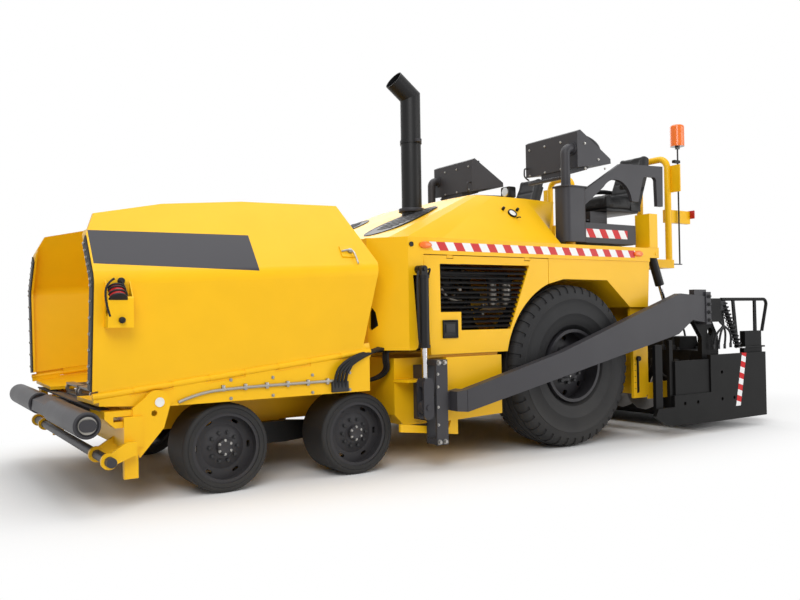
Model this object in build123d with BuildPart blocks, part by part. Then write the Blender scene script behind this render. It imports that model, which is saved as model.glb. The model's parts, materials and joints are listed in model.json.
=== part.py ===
from build123d import *
from math import atan2, cos, hypot, radians, sin, sqrt, tan
import os

# Wheeled asphalt paver: tractor with front hopper, two operator stations and a rear screed.
# Millimetres. +X is the driving direction, +Y the left side, +Z up, z = 0 the ground.
# Left-hand pieces are modelled and the right-hand ones are their mirror images.
# Distances along the machine are given ahead of the rear axle, by ahead().

os.makedirs("parts", exist_ok=True)

# ---------------------------------------------------------------- driving dimensions
rear_axle_x = -700.0            # rear axle, measured from the middle of the machine
front_axle_x = 3280.0           # first steered axle, ahead of the rear axle
second_axle_x = 2210.0          # second steered axle, ahead of the rear axle
body_half_width = 1280.0        # outer face of the tractor's side
panel_out = body_half_width - 10
running_gap = 0.3               # radial clearance of a pin or shaft in its bore
swing_gap = 5.0                 # least distance between pieces that move past each other

rear_tyre_radius = 745.0
rear_tyre_width = 430.0
rear_wheel_y = 1085.0
rear_rim_radius = 332.0
bogie_tyre_radius = 316.0
bogie_tyre_width = 360.0
bogie_wheel_y = 965.0
bogie_rim_radius = 248.0
king_pin_y = 905.0
king_pin_radius = 30.0

frame_plate_out = 510.0         # outer face of the two long frame plates
frame_plate = 40.0
frame_bottom = 400.0
frame_top = 900.0
frame_nose_top = 690.0          # top of the frame plates under the hopper
frame_nose = 3890.0
frame_step = 2040.0             # where the plates drop from frame_top to frame_nose_top

deck_top = 2 * rear_tyre_radius + 365
deck_plate = 40.0
deck_front = 1800.0
deck_rear = -(rear_tyre_radius + 330)
belt_height = 135.0             # the belt rail round the deck
belt_bottom = deck_top - belt_height
panel = 40.0                    # side panels and doors
door_gap = 6.0
door_hinge_y = body_half_width - 18
door_hinge_z = belt_bottom - 18
door_hinges = (540.0, 1390.0)   # places of the two hinges along the door
frame_rear = deck_rear + 30

hinge_y = 1170.0                # hopper wing hinge, and its height at the front and its rise
hinge_front_x = 4190.0
hinge_front_z = 735.0
hinge_rise = 6.0
hinge_knuckle = 230.0
hinge_radius = 22.0
hinge_pin = 11.0
wing_wall = 30.0
wing_front = 4190.0
wing_rear = 2060.0

roller_x = 4260.0
roller_z = 580.0
roller_radius = 85.0
roller_inner_y = 310.0
roller_outer_y = 1360.0
hitch_x = 4120.0
hitch_z = 338.0
hitch_radius = 32.0

tow_x = 1720.0                  # tow point: pin and cylinder
tow_y = body_half_width + 78
tow_z = 500.0
tow_pin = 25.0

station_x = -120.0              # swing axis of an operator station
station_y = body_half_width - 130
seat_y = station_y - 350
seat_bottom = deck_top + 380

auger_x = deck_rear - 265
auger_z = 400.0
auger_radius = 190.0
auger_shaft = 25.0

screed_half_width = 1525.0
screed_sole = 110.0             # height of the screed plate over the ground, as parked
box_front = auger_x - auger_radius - 110          # main screed box
box_rear = box_front - 450
box_half = screed_half_width - 255
extension_rear = box_rear - 510
walkway_x = extension_rear - 22   # hinge line of the folding walkways
walkway_z = 280.0

lift_y = body_half_width - 80
lift_top = (deck_rear - 115, lift_y, deck_top - 55)
lift_eye = (box_front + 250, lift_y, 1300.0)
lift_pin = 16.0
lift_head_x = deck_rear - 75    # box that carries the cylinder's top pin
lift_head_length = 120.0
lift_head_width = 210.0


def ahead(distance):
    """x of a place that lies this far ahead of the rear axle."""
    return rear_axle_x + distance


def above(height):
    """z of a place this far above the deck."""
    return deck_top + height


def side_plane(y):
    """Upright lengthwise plane at y: x forward, z up. A solid grows from it towards -Y."""
    return Plane.XZ.offset(-y)


def cross_plane(distance):
    """Upright crosswise plane: local x is Y, local y is Z. A solid grows from it forward."""
    return Plane.YZ.offset(ahead(distance))


def side_points(*points):
    """Side-view points, given ahead of the rear axle."""
    return [(ahead(x), z) for x, z in points]


def save(shape, name):
    shape.label = name
    export_step(shape, f"parts/{name}.step")


def save_pair(shape, name):
    """The left-hand piece and its mirror image on the right."""
    save(shape, name + "_l")
    save(mirror(shape, about=Plane.XZ), name + "_r")


def axle_plane(y, distance, z):
    """Plane across a wheel's axle: its normal points outward along +Y."""
    return Plane(origin=(ahead(distance), y, z), x_dir=(1, 0, 0), z_dir=(0, 1, 0))


# ---------------------------------------------------------------- main frame
frame_outline = side_points(
    (frame_rear, frame_bottom), (frame_rear, frame_top), (frame_step, frame_top),
    (frame_step, frame_nose_top), (frame_nose, frame_nose_top), (frame_nose, frame_bottom),
    (2900, frame_bottom), (2840, 230), (2650, 230), (2590, frame_bottom))
bogie_pivot_x = (front_axle_x + second_axle_x) / 2
bogie_pivot_radius = 60.0
cross_members = (frame_rear + 20, 760, 1880, 3000, frame_nose - 20)
cross_bottom = 440.0
cross_top = 620.0
conveyor_z = 680.0              # middle of the conveyor's chain loops
loop_radius = 38.0
chain_depth = 24.0
bed_plate = 16.0
bed_top = conveyor_z + loop_radius - chain_depth - running_gap

with BuildPart() as main_frame:
    with BuildSketch(side_plane(frame_plate_out)):
        Polygon(*frame_outline, align=None)
        with Locations((ahead(bogie_pivot_x), bogie_tyre_radius)):
            Circle(bogie_pivot_radius + running_gap, mode=Mode.SUBTRACT)
    extrude(amount=frame_plate)
    mirror(about=Plane.XZ)
    for x in cross_members:
        with Locations((ahead(x), 0, (cross_bottom + cross_top) / 2)):
            Box(40, 2 * (frame_plate_out - frame_plate / 2), cross_top - cross_bottom)
    with Locations((ahead((frame_rear + frame_nose) / 2), 0, bed_top - bed_plate / 2)):   # conveyor bed
        Box(frame_nose - frame_rear, 2 * (frame_plate_out - frame_plate / 2), bed_plate)
    with Locations((ahead(1075), 0, frame_top - 10)):     # tray that carries the engine
        Box(1500, 2 * (frame_plate_out - frame_plate / 2), 20)
save(main_frame.part, "main_frame")

# ---------------------------------------------------------------- conveyor
lane_inner = 30.0
lane_outer = 445.0
conveyor_rear = deck_rear - 175
conveyor_nose = 4010.0
chain_width = 36.0
slat_pitch = 220.0
slat_height = 16.0
slat_width = 60.0

run_length = conveyor_nose - conveyor_rear
slat_count = int(run_length / slat_pitch)
with BuildPart() as conveyor:
    for side in (1, -1):
        for y in (lane_inner + chain_width, lane_outer):     # the two chains of a lane
            chain_face = y if side > 0 else -y + chain_width
            with BuildSketch(side_plane(chain_face)):
                with Locations((ahead((conveyor_rear + conveyor_nose) / 2), conveyor_z)):
                    SlotCenterToCenter(run_length, 2 * loop_radius)
                    SlotCenterToCenter(run_length, 2 * (loop_radius - chain_depth), mode=Mode.SUBTRACT)
            extrude(amount=chain_width)
        lane_middle = side * (lane_inner + lane_outer) / 2
        slat_step = run_length / slat_count
        slat_places = [(ahead(conveyor_rear + k * slat_step), lane_middle, conveyor_z + row)
                       for row in (loop_radius, -loop_radius) for k in range(slat_count + 1)]
        with Locations(*slat_places):
            Box(slat_width, lane_outer - lane_inner, slat_height)
save(conveyor.part, "slat_conveyor")

# ---------------------------------------------------------------- hopper base
base_front = 4150.0
base_rear = 2120.0
apron = 25.0                    # sloping floor plate between conveyor and wing hinge
sill_out = 1180.0
sill = 30.0
sill_bottom = 645.0
hinge_slope = tan(radians(hinge_rise))
hinge_length = (hinge_front_x - base_rear) / cos(radians(hinge_rise))
knuckle_count = int(hinge_length / (hinge_knuckle + swing_gap))
knuckle_step = hinge_length / knuckle_count


def hinge_z(x):
    """Height of the wing hinge line, x ahead of the rear axle."""
    return hinge_front_z + (hinge_front_x - x) * hinge_slope


hinge_plane = Plane(origin=(ahead(hinge_front_x), hinge_y, hinge_front_z),
                    x_dir=(0, -1, 0),
                    z_dir=(-cos(radians(hinge_rise)), 0, sin(radians(hinge_rise))))


def knuckle_places(first):
    """Start of every second knuckle along the hinge, beginning with number first."""
    return [k * knuckle_step + swing_gap / 2 for k in range(first, knuckle_count, 2)]


def apron_section(x, inner_z, outer_z):
    return [(frame_plate_out, inner_z), (sill_out - sill, outer_z),
            (sill_out - sill, outer_z - apron), (frame_plate_out, inner_z - apron)]


with BuildPart() as hopper_base:
    with BuildSketch(cross_plane(base_front)):
        Polygon(*apron_section(base_front, 690, hinge_z(base_front) - 40), align=None)
    with BuildSketch(cross_plane(base_rear)):
        Polygon(*apron_section(base_rear, 700, hinge_z(base_rear) - 40), align=None)
    loft()
    with BuildSketch(side_plane(sill_out)):                   # outer sill under the hinge
        Polygon(*side_points((base_front, sill_bottom + 30), (base_front, hinge_z(base_front) - 35),
                             (base_rear, hinge_z(base_rear) - 35), (base_rear, sill_bottom),
                             (3700, sill_bottom)), align=None)
    extrude(amount=sill)
    with BuildSketch(side_plane(frame_plate_out + 20)):       # web that stands on the frame plate
        Polygon(*side_points((frame_nose, 560), (frame_nose, 680), (base_rear, 690),
                             (base_rear, 560)), align=None)
    extrude(amount=20)
    for start in knuckle_places(0):                           # fixed hinge knuckles and their ribs
        with BuildSketch(hinge_plane.offset(start)):
            Circle(hinge_radius)
            with Locations((5, -25)):
                Rectangle(30, 30)
        extrude(amount=hinge_knuckle)
    with BuildSketch(hinge_plane):                            # the pin through all knuckles
        Circle(hinge_pin)
    extrude(amount=hinge_length - swing_gap)
    mirror(about=Plane.XZ)
save(hopper_base.part, "hopper_base")

# ---------------------------------------------------------------- hopper wings
wing_front_section = [(hinge_y + 4, hinge_front_z + 35), (1262, 1500), (830, 2080)]
wing_rear_section = [(hinge_y + 4, hinge_z(wing_rear) + 35), (1262, 1590), (870, 2160)]
wing_bend_radius = 130.0
wing_outline = side_points(
    (wing_front, 700), (wing_front, 1800), (wing_front - 70, 1950), (3640, 2050), (3040, 2105),
    (2240, 2117), (wing_rear, 1650), (2190, 900))
flange_depth = 100.0
flange = 16.0
pocket_rear = 3965.0            # open pocket on the outside of the wing
pocket_length = 160.0
pocket_plate = 8.0
pocket_section = [(1215, 1180), (1335, 1180), (1335, 1367), (1245, 1500), (1235, 1500)]
with BuildPart() as pocket:
    with BuildSketch(cross_plane(pocket_rear)):
        Polygon(*pocket_section, align=None)
    extrude(amount=pocket_length)
    with BuildSketch(cross_plane(pocket_rear + pocket_plate)):
        Polygon((1100, 1188), (1335 - pocket_plate, 1188), (1335 - pocket_plate, 1600), (1100, 1600),
                align=None)
    extrude(amount=pocket_length - 2 * pocket_plate, mode=Mode.SUBTRACT)
    with BuildSketch(cross_plane(pocket_rear + pocket_length - 2 * pocket_plate)):
        with Locations((1290, 1290)):                         # round cut-out in its front side
            Circle(38)
    extrude(amount=3 * pocket_plate, mode=Mode.SUBTRACT)

with BuildPart() as hopper_wing:
    for x, section in ((wing_front, wing_front_section), (wing_rear, wing_rear_section)):
        with BuildSketch(cross_plane(x)):
            with BuildLine():
                FilletPolyline(*section, radius=wing_bend_radius)
                offset(amount=wing_wall, side=Side.LEFT)
            make_face()
    loft(ruled=True)
    with BuildSketch(cross_plane(wing_front)):                # return flange along the front edge
        with BuildLine():
            FilletPolyline(*wing_front_section, radius=wing_bend_radius)
            offset(amount=flange_depth, side=Side.LEFT)
        make_face()
    extrude(amount=-flange)
    with BuildSketch(side_plane(1400)):
        Polygon(*wing_outline, align=None)
    extrude(amount=900, mode=Mode.INTERSECT)
    for start in knuckle_places(1):
        with BuildSketch(hinge_plane.offset(start)):
            Circle(hinge_radius)
            with Locations((8, 28)):
                Rectangle(26, 40)
            Circle(hinge_pin + running_gap, mode=Mode.SUBTRACT)
        extrude(amount=hinge_knuckle)
    add(pocket.part)
save_pair(hopper_wing.part, "hopper_wing")

# ---------------------------------------------------------------- push beam and truck hitch
beam_back = frame_nose
beam_front = 4010.0
beam_half = 1240.0
beam_bottom = 400.0
beam_top = 600.0
carrier_y = 270.0
ring_places = (1300.0, 960.0, -960.0, -1300.0)
ring_radius = 52.0
ring_width = 30.0
roller_shaft = 35.0
lashing_x = 3809.0                # round hole in the gusset
lashing_z = 609.0
lashing_radius = 20.0
gusset = 25.0
gusset_out = sill_out + 43        # outer face of the gusset, clear of the wing's hinge
lobe_front = (ahead(3863), 718)   # ends and crown of the gusset's round lobe
lobe_crown = (ahead(3778), 760)
lobe_rear = (ahead(3703), 655)

with BuildPart() as push_beam:
    with Locations((ahead((beam_back + beam_front) / 2), 0, (beam_bottom + beam_top) / 2)):
        Box(beam_front - beam_back, 2 * beam_half, beam_top - beam_bottom)
    for side in (1, -1):
        face = side * beam_half if side > 0 else -beam_half + 40
        with BuildSketch(side_plane(face)):                   # end upright
            Polygon(*side_points((3920, 200), (4010, 200), (4010, 560), (3920, 560)), align=None)
        extrude(amount=40)
        face = gusset_out if side > 0 else gusset - gusset_out
        with BuildSketch(side_plane(face)):                   # lobed gusset plate beside the sill
            with BuildLine():
                lobe_low = (ahead(3745), 510)
                Polyline(lobe_low, (ahead(3905), 325), (ahead(3950), 440), (ahead(3950), 650), lobe_front)
                ThreePointArc(lobe_front, lobe_crown, lobe_rear)
                Line(lobe_rear, lobe_low)
            make_face()
            with Locations((ahead(lashing_x), lashing_z)):    # lashing hole
                Circle(lashing_radius, mode=Mode.SUBTRACT)
        extrude(amount=gusset)
        face = gusset_out - 10 if side > 0 else 130 - gusset_out
        with BuildSketch(side_plane(face)):                   # slotted end box ahead of the sill
            Polygon(*side_points((3940, 530), (4060, 530), (4125, 592), (4125, 640), (3940, 640)), align=None)
            with Locations((ahead(4013), 586)):
                Rectangle(114, 33, mode=Mode.SUBTRACT)
        extrude(amount=120)
    for y in ring_places:
        with BuildSketch(side_plane(y + ring_width / 2)):
            with Locations((ahead(hitch_x), hitch_z)):
                Circle(ring_radius)
            Polygon(*side_points((beam_front - 60, hitch_z + 30), (beam_front - 60, hitch_z + 110),
                                 (beam_front, hitch_z + 110), (hitch_x, hitch_z + 40),
                                 (hitch_x, hitch_z - 40)), align=None)
            with Locations((ahead(hitch_x), hitch_z)):
                Circle(hitch_radius + running_gap, mode=Mode.SUBTRACT)
        extrude(amount=ring_width)
    for y in (1300.0, -1300.0):                               # outer rings hang on the uprights
        toward = -1 if y > 0 else 1
        with Locations((ahead(beam_front - 30), y + toward * 40, hitch_z + 60)):
            Box(60, 110, 80)
save(push_beam.part, "push_beam")

cap = 12.0
apron_half = 1050.0
with BuildPart() as truck_hitch:
    with BuildSketch(side_plane(carrier_y)):                  # rounded carrier between the rollers
        Polygon(*side_points((beam_front, 470), (beam_front, 590), (roller_x - 40, 650),
                             (roller_x + 60, 620), (roller_x + 70, 540), (roller_x - 40, 500)), align=None)
    extrude(amount=2 * carrier_y)
    with BuildSketch(side_plane(roller_outer_y + swing_gap)):  # shaft of both rollers
        with Locations((ahead(roller_x), roller_z)):
            Circle(roller_shaft)
    extrude(amount=2 * (roller_outer_y + swing_gap))
    for side in (1, -1):                                      # oval plates that keep the rollers on
        face = roller_outer_y + swing_gap + cap if side > 0 else -roller_outer_y - swing_gap
        with BuildSketch(side_plane(face)):
            with Locations((ahead(roller_x), roller_z)):
                SlotOverall(104, 76)
        extrude(amount=cap)
    with BuildSketch(side_plane(apron_half)):                 # bent apron between beam and rollers
        Polygon(*side_points((beam_front, 590), (4056, 642), (4160, 655), (4160, 643), (4062, 630),
                             (beam_front, 576)), align=None)
    extrude(amount=2 * apron_half)
    with BuildSketch(side_plane(1380)):                       # hitch bar
        with Locations((ahead(hitch_x), hitch_z)):
            Circle(hitch_radius)
    extrude(amount=2 * 1380)
save(truck_hitch.part, "truck_hitch")

with BuildPart() as push_roller:
    with BuildSketch(side_plane(roller_outer_y)):
        with Locations((ahead(roller_x), roller_z)):
            Circle(roller_radius)
    extrude(amount=roller_outer_y - roller_inner_y)
    fillet(push_roller.edges().filter_by(GeomType.CIRCLE), 10)
    for face in (roller_outer_y, roller_inner_y + 14):        # recessed ends inside a rim
        with BuildSketch(side_plane(face)):
            with Locations((ahead(roller_x), roller_z)):
                Circle(roller_radius - 16)
                Circle(roller_shaft + 14, mode=Mode.SUBTRACT)
        extrude(amount=14, mode=Mode.SUBTRACT)
    with BuildSketch(side_plane(roller_outer_y)):
        with Locations((ahead(roller_x), roller_z)):
            Circle(roller_shaft + running_gap)
    extrude(amount=roller_outer_y, mode=Mode.SUBTRACT)
save_pair(push_roller.part, "push_roller")

# ---------------------------------------------------------------- bogie
bogie_beam_in = 560.0
bogie_beam_out = 640.0
arm_half = 45.0
arm_height = 50.0
with BuildPart() as bogie_axle:
    with BuildSketch(side_plane(bogie_beam_out)):
        with BuildLine():
            Polyline(*side_points((second_axle_x - 90, 270), (second_axle_x - 90, 362),
                                  (bogie_pivot_x - 160, 400), (bogie_pivot_x + 160, 400),
                                  (front_axle_x + 90, 362), (front_axle_x + 90, 270),
                                  (bogie_pivot_x + 160, 232), (bogie_pivot_x - 160, 232)), close=True)
        make_face()
    extrude(amount=bogie_beam_out - bogie_beam_in)
    for x in (front_axle_x, second_axle_x):                   # arms out to the king pins
        with BuildSketch(Plane.XY.offset(bogie_tyre_radius - arm_height)):
            with Locations((ahead(x), (bogie_beam_out + king_pin_y) / 2)):
                Rectangle(2 * arm_half, king_pin_y - bogie_beam_out)
            with Locations((ahead(x), king_pin_y)):
                Circle(arm_half)
                Circle(king_pin_radius + running_gap, mode=Mode.SUBTRACT)
        extrude(amount=2 * arm_height)
    mirror(about=Plane.XZ)
    with BuildSketch(side_plane(bogie_beam_out)):             # pivot shaft across the frame
        with Locations((ahead(bogie_pivot_x), bogie_tyre_radius)):
            Circle(bogie_pivot_radius)
    extrude(amount=2 * bogie_beam_out)
save(bogie_axle.part, "bogie_axle")

fork_plate = 25.0
fork_gap = arm_height + swing_gap
web_in = king_pin_y + arm_half + 2 * swing_gap
web_out = web_in + 40
spindle = 45.0
hub_radius = 80.0
rim_wall = 12.0
disc_y = bogie_wheel_y + 80
dish_radius = 158.0             # where the wheel disc turns flat
hand_hole_ring = 197.0
hand_hole_count = 6
hand_hole = 24.0
tread_corner = 28.0
tyre_out = bogie_wheel_y + bogie_tyre_width / 2
for position, axle_x in (("f", front_axle_x), ("m", second_axle_x)):
    with BuildPart() as knuckle:
        with BuildSketch(Plane.YZ.offset(ahead(axle_x) - 55)):
            with Locations(((web_in + web_out) / 2, bogie_tyre_radius)):
                Rectangle(web_out - web_in, 2 * (fork_gap + fork_plate))
            for side in (1, -1):
                middle_z = bogie_tyre_radius + side * (fork_gap + fork_plate / 2)
                with Locations(((king_pin_y - 50 + web_out) / 2, middle_z)):
                    Rectangle(web_out - king_pin_y + 50, fork_plate)
        extrude(amount=110)
        with BuildSketch(Plane.XY.offset(bogie_tyre_radius - fork_gap - 1)):
            with Locations((ahead(axle_x), king_pin_y)):
                Circle(king_pin_radius)
        extrude(amount=2 * fork_gap + 2)
        with BuildSketch(axle_plane(web_out, axle_x, bogie_tyre_radius)):
            Circle(spindle)
        extrude(amount=95)
    save_pair(knuckle.part, "knuckle_" + position)

    with BuildPart() as bogie_rim:
        with BuildSketch(Plane.YZ.offset(ahead(axle_x))):
            with Locations((bogie_wheel_y, bogie_tyre_radius + bogie_rim_radius - rim_wall / 2)):
                Rectangle(bogie_tyre_width - 20, rim_wall)
            for lip in (1, -1):                               # lips at both ends of the rim
                with Locations((bogie_wheel_y + lip * (bogie_tyre_width / 2 - 16),
                                bogie_tyre_radius + bogie_rim_radius - rim_wall)):
                    Rectangle(12, 2 * rim_wall)
            Polygon((disc_y + 32, bogie_tyre_radius + hub_radius - 4),          # dished disc
                    (disc_y + 4, bogie_tyre_radius + dish_radius),
                    (disc_y + 4, bogie_tyre_radius + bogie_rim_radius - rim_wall / 2),
                    (disc_y - 12, bogie_tyre_radius + bogie_rim_radius - rim_wall / 2),
                    (disc_y - 12, bogie_tyre_radius + dish_radius - 8),
                    (disc_y + 14, bogie_tyre_radius + hub_radius - 4), align=None)
            with Locations((disc_y, bogie_tyre_radius + (spindle + running_gap + hub_radius) / 2)):
                Rectangle(70, hub_radius - spindle - running_gap)
        revolve(axis=Axis((ahead(axle_x), 0, bogie_tyre_radius), (0, 1, 0)))
        with BuildSketch(axle_plane(disc_y - 20, axle_x, bogie_tyre_radius)):   # hand holes in the disc
            with PolarLocations(hand_hole_ring, hand_hole_count):
                SlotOverall(2.2 * hand_hole, hand_hole, rotation=90)
        extrude(amount=60, mode=Mode.SUBTRACT)
    save_pair(bogie_rim.part, "bogie_rim_" + position)

    with BuildPart() as bogie_tyre:
        with BuildSketch(Plane.YZ.offset(ahead(axle_x))) as tyre_section:
            depth = bogie_tyre_radius - bogie_rim_radius - running_gap
            with Locations((bogie_wheel_y, 2 * bogie_tyre_radius - depth / 2)):
                Rectangle(bogie_tyre_width, depth)
            fillet(tyre_section.vertices().group_by(Axis.Y)[-1], tread_corner)
            for y in (tyre_out, tyre_out - bogie_tyre_width):     # moulded ring in each side wall
                with Locations((y, 2 * bogie_tyre_radius - tread_corner - 8)):
                    Circle(4, mode=Mode.SUBTRACT)
        revolve(axis=Axis((ahead(axle_x), 0, bogie_tyre_radius), (0, 1, 0)))
    save_pair(bogie_tyre.part, "bogie_tyre_" + position)

# ---------------------------------------------------------------- rear wheels and their drives
drive_radius = 170.0
drive_out = 880.0
rear_spindle = 110.0
rear_hub = 150.0
rear_disc_y = rear_wheel_y + 45
rear_rim_wall = 14.0
with BuildPart() as rear_drives:
    with BuildSketch(axle_plane(frame_plate_out, 0, rear_tyre_radius)):
        Circle(drive_radius)
    extrude(amount=drive_out - frame_plate_out)
    with BuildSketch(axle_plane(drive_out, 0, rear_tyre_radius)):
        Circle(rear_spindle)
    extrude(amount=rear_disc_y + 30 - drive_out)
    mirror(about=Plane.XZ)
save(rear_drives.part, "rear_wheel_drives")

rear_axis = Axis((rear_axle_x, 0, rear_tyre_radius), (0, 1, 0))
with BuildPart() as rear_rim:
    with BuildSketch(Plane.YZ.offset(rear_axle_x)):
        with Locations((rear_wheel_y, rear_tyre_radius + rear_rim_radius - rear_rim_wall / 2)):
            Rectangle(rear_tyre_width - 30, rear_rim_wall)
        for lip in (1, -1):                                   # flanges at both ends of the rim
            with Locations((rear_wheel_y + lip * (rear_tyre_width / 2 - 22),
                            rear_tyre_radius + rear_rim_radius - rear_rim_wall)):
                Rectangle(14, 2 * rear_rim_wall)
        Polygon((rear_disc_y + 50, rear_tyre_radius + rear_hub - 5),            # conical disc
                (rear_disc_y + 50, rear_tyre_radius + rear_hub + 30),
                (rear_disc_y + 2, rear_tyre_radius + rear_rim_radius - rear_rim_wall / 2),
                (rear_disc_y - 20, rear_tyre_radius + rear_rim_radius - rear_rim_wall / 2),
                (rear_disc_y + 28, rear_tyre_radius + rear_hub - 5), align=None)
        with Locations((rear_disc_y - 10, rear_tyre_radius + (rear_spindle + running_gap + rear_hub) / 2)):
            Rectangle(130, rear_hub - rear_spindle - running_gap)
    revolve(axis=rear_axis)
    with BuildSketch(axle_plane(rear_disc_y - 40, 0, rear_tyre_radius)):        # hand holes in the disc
        with PolarLocations((rear_hub + rear_rim_radius) / 2 + 15, 8):
            Circle(27)
    extrude(amount=120, mode=Mode.SUBTRACT)
save_pair(rear_rim.part, "rear_rim")

with BuildPart() as rear_tyre:
    with BuildSketch(Plane.YZ.offset(rear_axle_x)):
        with BuildLine():
            bead = rear_tyre_radius + rear_rim_radius + running_gap
            crown = 2 * rear_tyre_radius
            half = rear_tyre_width / 2
            shoulder = crown - 62
            bulge = (bead + shoulder) / 2
            Line((rear_wheel_y + half - 42, bead), (rear_wheel_y - half + 42, bead))
            for side in (1, -1):                              # bulged side wall, then the shoulder
                ThreePointArc((rear_wheel_y + side * (half - 42), bead),
                              (rear_wheel_y + side * half, bulge),
                              (rear_wheel_y + side * (half - 14), shoulder))
                ThreePointArc((rear_wheel_y + side * (half - 14), shoulder),
                              (rear_wheel_y + side * (half - 34), crown - 26),
                              (rear_wheel_y + side * (half - 66), crown - 11))
            ThreePointArc((rear_wheel_y + half - 66, crown - 11), (rear_wheel_y, crown),
                          (rear_wheel_y - half + 66, crown - 11))
        make_face()
    revolve(axis=rear_axis)
save_pair(rear_tyre.part, "rear_tyre")

# ---------------------------------------------------------------- engine and boxes beside the frame
with BuildPart() as engine_block:
    with BuildSketch(Plane.XY.offset(frame_top)):
        with Locations((ahead(1030), 0)):
            Rectangle(1050, 840)
    extrude(amount=800)
    chamfer(engine_block.edges().group_by(Axis.Z)[-1], 80)
save(engine_block.part, "engine_block")

tank_front = 1446.0
tank_rear = rear_tyre_radius + 112
tank_bottom = 380.0
tank_top = 880.0
tank_out = panel_out
recess_front = 1830.0
recess_out = body_half_width - 200
guide_x = 1595.0                # tow guide, standing before the tank
guide_half = 55.0
ledge_rear = guide_x + guide_half
with BuildPart() as side_boxes:
    with BuildSketch(side_plane(tank_out)):                   # tank
        Polygon(*side_points((tank_rear, tank_bottom), (tank_rear, tank_top), (tank_front, tank_top),
                             (tank_front, tank_bottom - 20)), align=None)
    extrude(amount=tank_out - frame_plate_out)
    with BuildSketch(side_plane(recess_out)):                 # recessed box ahead of the tank
        Polygon(*side_points((tank_front, 330), (tank_front, tank_top), (recess_front, tank_top),
                             (recess_front, 420), (recess_front - 90, 330)), align=None)
    extrude(amount=recess_out - frame_plate_out)
    with BuildSketch(Plane.XY.offset(690)):                   # ledge over the recess
        Polygon((ahead(ledge_rear), recess_out), (ahead(recess_front + 10), recess_out),
                (ahead(recess_front - 30), tank_out - 30), (ahead(ledge_rear), tank_out - 30), align=None)
    extrude(amount=20)
    with BuildSketch(side_plane(tank_out)):                   # skirt along the foot of the side
        Polygon(*side_points((1335, 244), (1335, 372), (1400, 372), (1425, 305), (1900, 372), (1900, 310)),
                align=None)
    extrude(amount=25)
    mirror(about=Plane.XZ)
save(side_boxes.part, "side_boxes")

# ---------------------------------------------------------------- deck, side panels, cowl, hood
post_stub = 45.0
drop_rear = 1661.0              # plate under the front of the rail, for the tow cylinder
drop_bottom = belt_bottom - 170
drop_plate = 30.0
with BuildPart() as deck:
    with BuildSketch(Plane.XY.offset(deck_top - deck_plate)):
        with Locations((ahead((deck_front + deck_rear) / 2), 0)):
            Rectangle(deck_front - deck_rear, 2 * body_half_width)
    extrude(amount=deck_plate)
    for side in (1, -1):                                      # belt rails
        with Locations((ahead((deck_front + deck_rear) / 2), side * (body_half_width - panel / 2),
                        (belt_bottom + deck_top) / 2)):
            Box(deck_front - deck_rear, panel, deck_top - belt_bottom)
        with Locations((ahead((drop_rear + deck_front) / 2), side * (body_half_width - drop_plate / 2),
                        (drop_bottom + belt_bottom) / 2)):
            Box(deck_front - drop_rear, drop_plate, belt_bottom - drop_bottom)
        with BuildSketch(Plane.XY.offset(deck_top - 1)):      # pivot stub of the operator station
            with Locations((ahead(station_x), side * station_y)):
                Circle(post_stub)
        extrude(amount=95)
        for x in door_hinges:                                 # hinge blocks under the rail, with their pin
            with Locations((ahead(x), side * door_hinge_y, (door_hinge_z - 8 + belt_bottom) / 2)):
                Box(60, 16, belt_bottom - door_hinge_z + 8)
            with BuildSketch(cross_plane(x - 50)):
                with Locations((side * door_hinge_y, door_hinge_z)):
                    Circle(6)
            extrude(amount=100)
save(deck.part, "deck")

arch_radius = rear_tyre_radius + 55
seam_x = 290.0                  # upright seam between engine door and fender panel
door_front_top = drop_rear - door_gap
door_front_bottom = 1592.0
door_bottom = 905.0
arch_front_x = sqrt(arch_radius ** 2 - (door_bottom - rear_tyre_radius) ** 2)
arch_seam_z = rear_tyre_radius + sqrt(arch_radius ** 2 - seam_x ** 2)
fender_low = rear_tyre_radius + 526
fender_high = rear_tyre_radius + 785
fender_tail = -(rear_tyre_radius + 39)
fender_shoulder = 275 - rear_tyre_radius
door_post_y = body_half_width - 100
with BuildPart() as side_panels:
    with BuildSketch(side_plane(panel_out)):                  # fender panel over the wheel
        Polygon(*side_points((seam_x - door_gap, arch_seam_z), (seam_x - door_gap, belt_bottom),
                             (deck_rear, belt_bottom), (deck_rear + 29, fender_low),
                             (fender_tail, fender_low), (fender_shoulder, fender_high),
                             (100, fender_high + 5)), align=None)
    extrude(amount=panel)
    with BuildSketch(side_plane(panel_out - panel)):          # wheel housing behind it
        Polygon(*side_points((seam_x - door_gap - 60, arch_seam_z + 30), (100, fender_high + 5),
                             (fender_shoulder, fender_high), (fender_tail, fender_low),
                             (fender_tail, fender_low + 24), (fender_shoulder - 8, fender_high + 22),
                             (105, fender_high + 27), (seam_x - door_gap - 60, fender_high + 15)), align=None)
    extrude(amount=panel_out - panel - frame_plate_out)
    for x, foot in ((1580, tank_top), (seam_x - 60, fender_high - 30)):    # posts behind the door
        with Locations((ahead(x), door_post_y, (foot + deck_top - deck_plate) / 2)):
            Box(50, 80, deck_top - deck_plate - foot)
    with Locations((ahead((tank_rear + 1600) / 2), door_post_y, tank_top + 10)):
        Box(1600 - tank_rear, 80, 20)
    mirror(about=Plane.XZ)
save(side_panels.part, "side_panels")

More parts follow.
